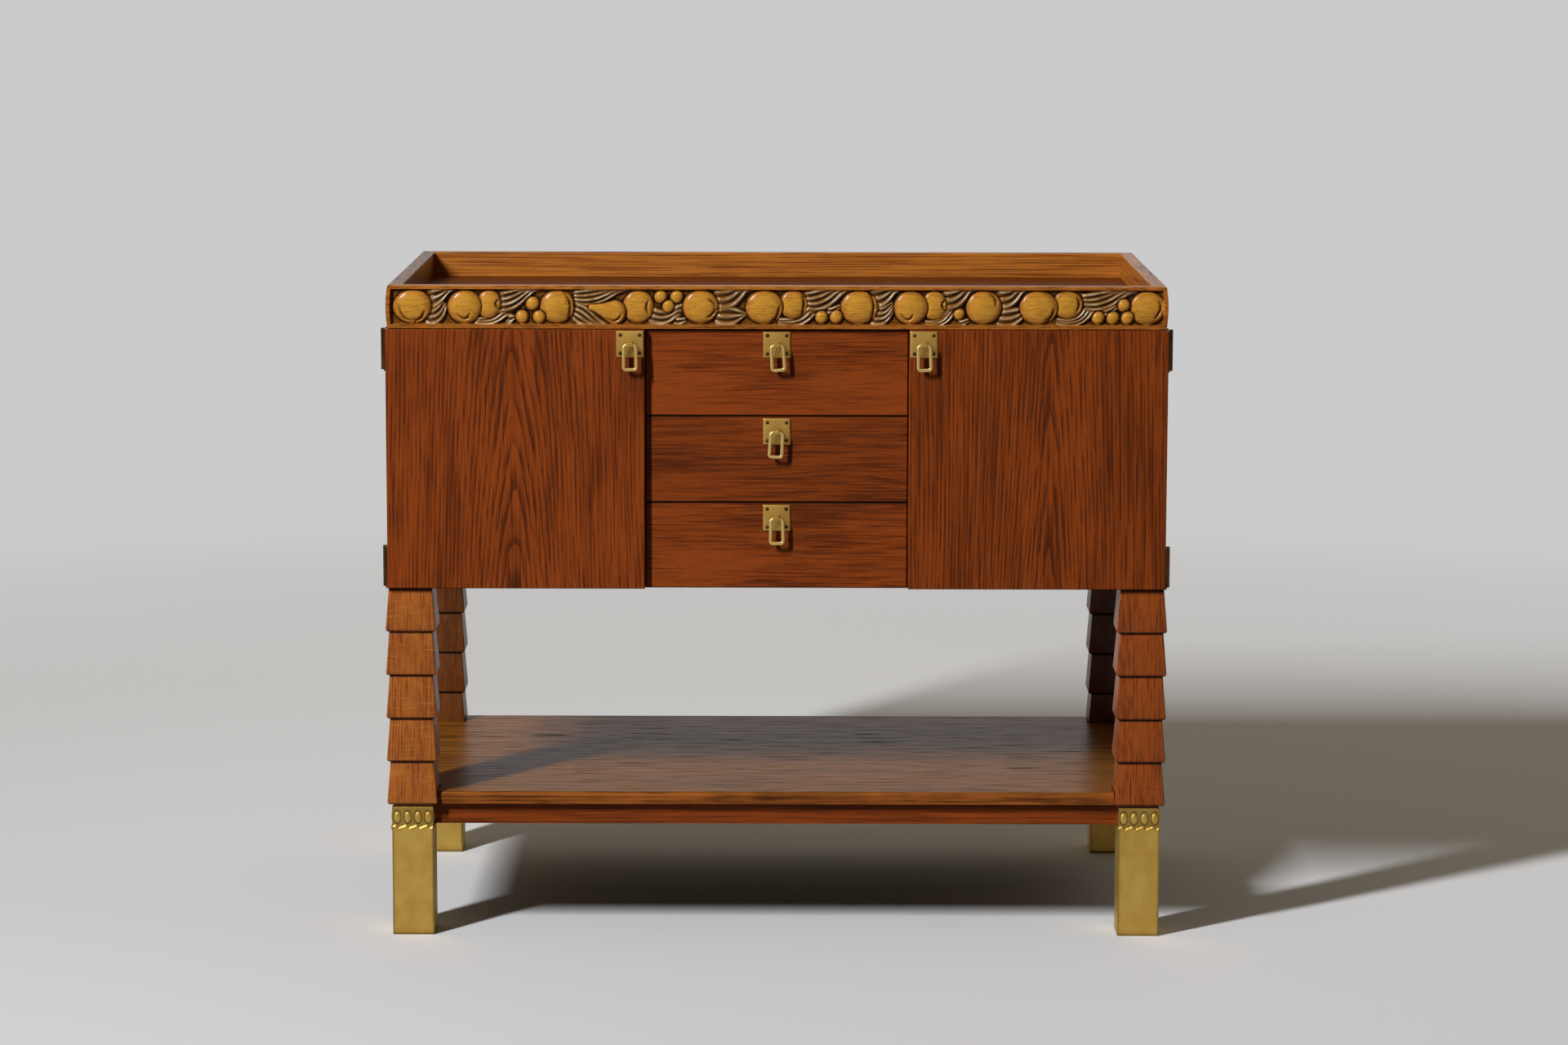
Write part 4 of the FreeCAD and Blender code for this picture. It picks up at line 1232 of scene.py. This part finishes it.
def slotted_screw(x, out, y, z, turn):
    """Countersunk screw in a hinge leaf: a low dome with a slot; out is the side that it faces."""
    radius = 2.6
    slot = 0.45
    slot_depth = 0.7
    stand = 0.25
    sunk_part = 1.2
    crown_fall = 0.6
    edge = slot / radius
    columns = [(-0.999, 0.0), (-0.85, 0.0), (-0.6, 0.0), (-0.35, 0.0), (-edge, 0.0), (-edge, slot_depth)]
    columns += [(-column, sunk) for column, sunk in reversed(columns)]
    rows = np.linspace(-1, 1, 7)
    spin = cmath.exp(1j * turn)
    outlines = []
    for column, sunk in columns:
        reach = math.sqrt(1 - column**2)
        top = []
        base = []
        for row in rows:
            place = complex(y, z) + radius * spin * complex(column, row * reach)
            crown = stand * (1 - crown_fall * (column**2 + (row * reach) ** 2)) - sunk
            top.append((x + out * crown, place.real, place.imag))
            base.append((x - out * sunk_part, place.real, place.imag))
        outlines.append(np.array(top + base[::-1]))
    return loft(outlines)


def hinge_screws(node, material):
    """Two slotted screws in each of the two leaves that a node holds."""
    low, high = box_mm(node)
    side = 1.0 if low.x > 0 else -1.0
    leaf_height = 50.0
    leaf_thickness = 1.8
    barrel_radius = 3.2
    barrel_room = 3.7
    inset = 10.0
    first_turn = 0.6
    next_turn = 1.7
    case_x = box_mm("side_panel_right")[1].x
    face_x = side * (case_x + leaf_thickness)
    on_case = "case" in node
    far_y = high.y if on_case else low.y
    barrel = barrel_radius + barrel_room
    barrel_y = low.y + barrel if on_case else high.y - barrel
    y = (far_y + barrel_y) / 2
    screws = []
    for start in (low.z, high.z - leaf_height):
        for z in (start + inset, start + leaf_height - inset):
            turn = first_turn + next_turn * len(screws)
            screws.append(slotted_screw(face_x, side, y, z, turn))
    return piece(node.replace("leaves", "screws"), *joined(screws), material, soft_angle=30.0)


# Pulls, and how many degrees their rings hang askew
PULLS = {
    "door_left": 0.8,
    "door_right": 1.6,
    "drawer_top": 4.0,
    "drawer_middle": -3.0,
    "drawer_bottom": 0.6,
}
CORNERS = ("front_left", "front_right", "back_left", "back_right")
DRAWERS = ("bottom", "middle", "top")

# Numbers of the boards that aren't in the plan, and of the first shoe's chance
CARVED_BOARD = 50
FIRST_LEG_BOARD = 60
FIRST_SHOE_SEED = 20
# How strongly the rays show on the leg that shows them most, and on the others
CLEAR_RAYS = 0.6
FAINT_RAYS = 0.1

# Roles of a board's x, y and z axis
UPRIGHT = ("across", "depth", "along")
LEVEL = ("along", "depth", "across")
FLAT = ("along", "across", "depth")
ENDWAYS = ("depth", "along", "across")
UPRIGHT_SIDE = ("depth", "across", "along")

# Straight figure, from boards whose rings run square to the face
STRAIGHT = {"heart": -700.0, "behind": 0.0, "lean": 0.0, "sway": 5.0, "stain": 0.5}
# Wide rings of a fast-grown tree
WIDE = {"lean": 0.0, "ring": 4.6, "sway": 6.0, "cloud": 0.9, "pore": 18.0, "vessel": 1.1, "stain": 0.55}
# Broad streaks, which still show when the board is seen at a low angle
STREAKED = {"lean": 0.0, "arch": 0.03, "ring": 14.0, "pore": 60.0, "vessel": 4.2, "stain": 0.9}
# Calm, slightly slanting figure with short pores
CALM = {
    "behind": 40.0, "ring": 2.6, "sway": 26.0, "figure": 0.4, "cloud": 1.4, "fibre": 60.0,
    "pore": 10.0, "vessel": 1.0, "stain": 0.4,
}


def board_plan():
    """Nodes that stay as boards, with their kind of oak, their axes, and what sets their figure apart."""
    plan = {
        "door_panel_left": ("door", UPRIGHT, {"heart": -316.0, "arch": 0.085, **WIDE}),
        "door_panel_right": ("door", UPRIGHT, {"heart": 330.0, "behind": 30.0, "arch": 0.055, **WIDE}),
        "side_panel_left": ("door", UPRIGHT_SIDE, {"heart": 60.0, "behind": 24.0, "lean": 0.09}),
        "side_panel_right": ("door", UPRIGHT_SIDE, {"heart": -40.0, "behind": 30.0, "lean": 0.1}),
        "back_panel": ("door", UPRIGHT, {"heart": 40.0, "behind": 40.0, "lean": 0.08}),
        "tray_floor": ("tray", FLAT, {"heart": -30.0, "behind": 40.0, "lean": 0.03}),
        "gallery_rail_back": ("gallery", LEVEL, STRAIGHT),
        "gallery_rail_left": ("gallery", ENDWAYS, STRAIGHT),
        "gallery_rail_right": ("gallery", ENDWAYS, STRAIGHT),
        "lower_shelf": ("shelf", FLAT, {"heart": 90.0, **STREAKED}),
        "apron_front": ("door", LEVEL, STRAIGHT),
        "apron_back": ("door", LEVEL, STRAIGHT),
        "apron_left": ("door", ENDWAYS, STRAIGHT),
        "apron_right": ("door", ENDWAYS, STRAIGHT),
        "case_bottom": ("door", FLAT, {"behind": 45.0}),
        "divider_left": ("inner", UPRIGHT_SIDE, {}),
        "divider_right": ("inner", UPRIGHT_SIDE, {"behind": 45.0}),
        "drawer_runners": ("inner", ENDWAYS, STRAIGHT),
    }
    hearts = {"top": (850.0, 0.05), "middle": (690.0, -0.05), "bottom": (380.0, 0.04)}
    for name in DRAWERS:
        heart, lean = hearts[name]
        plan["drawer_front_" + name] = ("drawer", LEVEL, {"heart": heart, "lean": lean, **CALM})
        plan["drawer_back_" + name] = ("inner", LEVEL, {})
        plan["drawer_bottom_" + name] = ("inner", FLAT, {"behind": 40.0})
        plan["drawer_sides_" + name] = ("inner", ENDWAYS, STRAIGHT)
    return plan


# Pieces set darker than their neighbours of the same oak: partly their own tone, partly painted shade, most
# of all on the back legs and the inside of the left gallery rail
SHADES = {
    "drawer_front_middle": 0.82,
    "drawer_front_top": 0.95,
    "drawer_front_bottom": 0.95,
    "door_panel_left": 0.94,
    "door_panel_right": 0.91,
    "apron_front": 0.85,
    "gallery_rail_left": 0.42,
    "tray_floor": 0.8,
    "leg_back_left": 0.3,
    "leg_back_right": 0.35,
}


# Polish of each kind of oak: the level boards shine most, and the insides are bare
FINISHES = {
    "door": {"rough": 0.42, "shine": 0.15},
    "drawer": {"rough": 0.42, "shine": 0.15, "edge": 1.0},
    "gallery": {"rough": 0.3, "shine": 0.35},
    "shelf": {"rough": 0.3, "shine": 0.06, "fade_and_shade": True},
    "tray": {"rough": 0.3, "shine": 0.02},
    "inner": {"rough": 0.6, "shine": 0.3},
}


def dress(node, material):
    """Give a node that stays as it is its material."""
    slots = frame["nodes"][node].data.materials
    slots.clear()
    slots.append(material)


class CABINET_OT_boards(bpy.types.Operator):
    """Give every board of the case, tray, shelf and drawers its own cut of oak"""

    bl_idname = "cabinet.boards"
    bl_label = "Oak Boards"

    def execute(self, context):
        oak = context.scene.cabinet_oak
        for number, (node, (kind, axes, figure)) in enumerate(board_plan().items()):
            cut = Cut(node, axes, number + 1, **figure)
            tones = tones_of(oak, kind, GRAIN, SHADES.get(node, 1.0))
            dress(node, planed_oak("planed_oak_" + node, cut, tones, **FINISHES[kind]))
        return {"FINISHED"}


class CABINET_OT_carved_rail(bpy.types.Operator):
    """Carve fruit and leaves into the tray's front rail"""

    bl_idname = "cabinet.carved_rail"
    bl_label = "Carved Rail"

    def execute(self, context):
        cut = Cut("carved_front_rail", LEVEL, CARVED_BOARD, fibre=16.0, pore=9.0, figure=0.3, **STRAIGHT)
        carving = context.scene.cabinet_carving
        material = carved_oak("carved_honey_oak", cut, context.scene.cabinet_oak, carving)
        stands_for(carved_rail(carving, material), "carved_front_rail")
        return {"FINISHED"}


class CABINET_OT_legs(bpy.types.Operator):
    """Build the four stepped legs"""

    bl_idname = "cabinet.legs"
    bl_label = "Stepped Legs"

    def execute(self, context):
        oak = context.scene.cabinet_oak
        for number, corner in enumerate(CORNERS):
            node = "leg_" + corner
            side = corner.split("_")[1]
            strength = CLEAR_RAYS if node == "leg_front_left" else FAINT_RAYS
            cut = Cut(node, UPRIGHT, FIRST_LEG_BOARD + number, cloud=1.0, **STRAIGHT)
            tones = tones_of(oak, side, GRAIN, SHADES.get(node, 1.0))
            material = quarter_oak("quartered_oak_" + node, cut, tones, oak.ray, strength)
            stands_for(stepped_leg(node, material, number), node)
        return {"FINISHED"}


class CABINET_OT_shoes(bpy.types.Operator):
    """Cast the four brass shoes"""

    bl_idname = "cabinet.shoes"
    bl_label = "Brass Shoes"

    def execute(self, context):
        brass = context.scene.cabinet_brass
        material = aged_brass("aged_cast_brass", *tones_of(brass, "shoe", SKIN), rough=0.45)
        for number, corner in enumerate(CORNERS):
            node = "shoe_" + corner
            made = shoe_sleeve(node, context.scene.cabinet_shoe, material, FIRST_SHOE_SEED + number)
            stands_for(made, node)
        return {"FINISHED"}


class CABINET_OT_pulls(bpy.types.Operator):
    """Make the plates, pins and rings of the five pulls"""

    bl_idname = "cabinet.pulls"
    bl_label = "Pulls"

    def execute(self, context):
        brass = context.scene.cabinet_brass
        pull = context.scene.cabinet_pull
        plate = aged_brass("aged_sheet_brass", *tones_of(brass, "plate", SKIN), rough=0.55)
        ring = aged_brass("rubbed_cast_brass", *tones_of(brass, "ring", SKIN), rough=0.42)
        pin = aged_brass("bronzed_iron", *tones_of(brass, "bronze", SKIN), rough=0.3)
        for name, tilt in PULLS.items():
            stands_for(pull_plate(name, pull, plate), "pull_plate_" + name)
            stands_for(pull_pins(name, pull, pin), "pull_studs_" + name)
            stands_for(pull_ring(name, pull, ring, tilt), "pull_loop_" + name)
        return {"FINISHED"}


class CABINET_OT_hinges(bpy.types.Operator):
    """Finish the hinges and catches, and put the screws in"""

    bl_idname = "cabinet.hinges"
    bl_label = "Hinges and Catches"

    def execute(self, context):
        brass = context.scene.cabinet_brass
        bronze = aged_brass("bronzed_brass", *tones_of(brass, "bronze", SKIN), rough=0.42)
        catch = aged_brass("drawn_brass", *tones_of(brass, "ring", SKIN), rough=0.4)
        dress("hinge_pins", bronze)
        dress("door_catches", catch)
        for side in ("left", "right"):
            for owner in ("case", "door"):
                node = f"hinge_{owner}_leaves_{side}"
                dress(node, bronze)
                screws = hinge_screws(node, bronze)
                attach(screws, frame["nodes"][node]["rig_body"])
        return {"FINISHED"}


class CABINET_OT_stage(bpy.types.Operator):
    """Lay the pale floor and set the light and the camera"""

    bl_idname = "cabinet.stage"
    bl_label = "Stage"

    def execute(self, context):
        stage = context.scene.cabinet_stage
        scene = context.scene
        reach = 3600.0
        below = -0.2
        corners = [(x * reach, y * reach, below) for x, y in ((-1, -1), (1, -1), (1, 1), (-1, 1))]
        material = stage_paper("matt_seamless_paper", stage)
        piece("floor", corners, [(0, 1, 2, 3)], material)

        # The camera sees a pale surround, reflections a darker room in front, and the rest only a soft glow
        world = bpy.data.worlds.new("soft_room")
        scene.world = world
        world.use_nodes = True
        tree = world.node_tree
        tree.nodes.clear()
        rays = add(tree, "ShaderNodeLightPath").node.outputs
        aim = add(tree, "ShaderNodeTexCoord", out="Generated")
        aim = add(tree, "ShaderNodeSeparateXYZ", {0: aim}).node.outputs
        front_to_back = (-0.3, 0.3)
        low_to_high = (0.2, 1.0)
        lean_back = 0.5
        behind = spread(tree, aim["Y"], *front_to_back)
        mirrored = mixed(tree, behind, opaque(stage.room), opaque(stage.backdrop))
        high = maths(tree, "MULTIPLY_ADD", aim["Y"], lean_back, aim["Z"])
        high = spread(tree, high, *low_to_high)
        dim = mixed(tree, high, opaque(stage.front_glow), opaque(stage.back_glow))
        glow = mixed(tree, rays["Is Glossy Ray"], dim, mirrored)
        seen = maths(tree, "MAXIMUM", rays["Is Camera Ray"], rays["Is Transmission Ray"])
        glow = mixed(tree, seen, glow, opaque(stage.backdrop))
        add(tree, "ShaderNodeOutputWorld", {"Surface": add(tree, "ShaderNodeBackground", {"Color": glow})})

        # The softbox stands for a larger, more distant one, so its light doesn't weaken on the way
        lamp = bpy.data.lights.new("softbox", "AREA")
        lamp.shape = "RECTANGLE"
        lamp.size = stage.lamp_width
        lamp.size_y = stage.lamp_height
        lamp.energy = stage.lamp_power
        lamp.use_nodes = True
        tree = lamp.node_tree
        tree.nodes.clear()
        steady = add(tree, "ShaderNodeLightFalloff", {"Strength": 1.0}, out="Constant")
        glow = add(tree, "ShaderNodeEmission", {"Color": opaque(stage.lamp_tint), "Strength": steady})
        add(tree, "ShaderNodeOutputLight", {"Surface": glow})
        softbox = bpy.data.objects.new("softbox", lamp)
        softbox.location = stage.lamp_place
        aim_at = Vector((0.0, 0.0, 0.4))
        softbox.rotation_euler = (aim_at - softbox.location).to_track_quat("-Z", "Y").to_euler()
        softbox.visible_camera = False
        scene.collection.objects.link(softbox)

        camera = bpy.data.objects.new("camera", bpy.data.cameras.new("camera"))
        camera.location = stage.camera_place
        camera.rotation_euler = stage.camera_turn
        camera.data.lens = stage.lens
        camera.data.clip_end = 200.0
        scene.collection.objects.link(camera)
        scene.camera = camera
        scene.view_settings.view_transform = "Standard"
        return {"FINISHED"}


OPERATORS = (
    CABINET_OT_boards,
    CABINET_OT_carved_rail,
    CABINET_OT_legs,
    CABINET_OT_shoes,
    CABINET_OT_pulls,
    CABINET_OT_hinges,
    CABINET_OT_stage,
)
SETTINGS = {
    "cabinet_oak": OakSettings,
    "cabinet_carving": CarvingSettings,
    "cabinet_brass": BrassSettings,
    "cabinet_shoe": ShoeSettings,
    "cabinet_pull": PullSettings,
    "cabinet_stage": StageSettings,
}


class CABINET_PT_looks(bpy.types.Panel):
    """Sizes, colours and steps of the cabinet's looks"""

    bl_idname = "CABINET_PT_looks"
    bl_label = "Side Cabinet"
    bl_space_type = "VIEW_3D"
    bl_region_type = "UI"
    bl_category = "Cabinet"

    def draw(self, context):
        for operator in OPERATORS:
            self.layout.operator(operator.bl_idname)
        for name, group in SETTINGS.items():
            box = self.layout.box()
            box.label(text=group.__doc__)
            for setting in group.__annotations__:
                box.prop(getattr(context.scene, name), setting)


def register():
    for name, group in SETTINGS.items():
        bpy.utils.register_class(group)
        setattr(bpy.types.Scene, name, bpy.props.PointerProperty(type=group))
    for part in (*OPERATORS, CABINET_PT_looks):
        bpy.utils.register_class(part)


def unregister():
    for part in (CABINET_PT_looks, *reversed(OPERATORS)):
        bpy.utils.unregister_class(part)
    for name, group in SETTINGS.items():
        delattr(bpy.types.Scene, name)
        bpy.utils.unregister_class(group)


def main():
    register()
    bpy.ops.cabinet.boards()
    bpy.ops.cabinet.carved_rail()
    bpy.ops.cabinet.legs()
    bpy.ops.cabinet.shoes()
    bpy.ops.cabinet.pulls()
    bpy.ops.cabinet.hinges()
    bpy.ops.cabinet.stage()


if __name__ == "__main__":
    main()
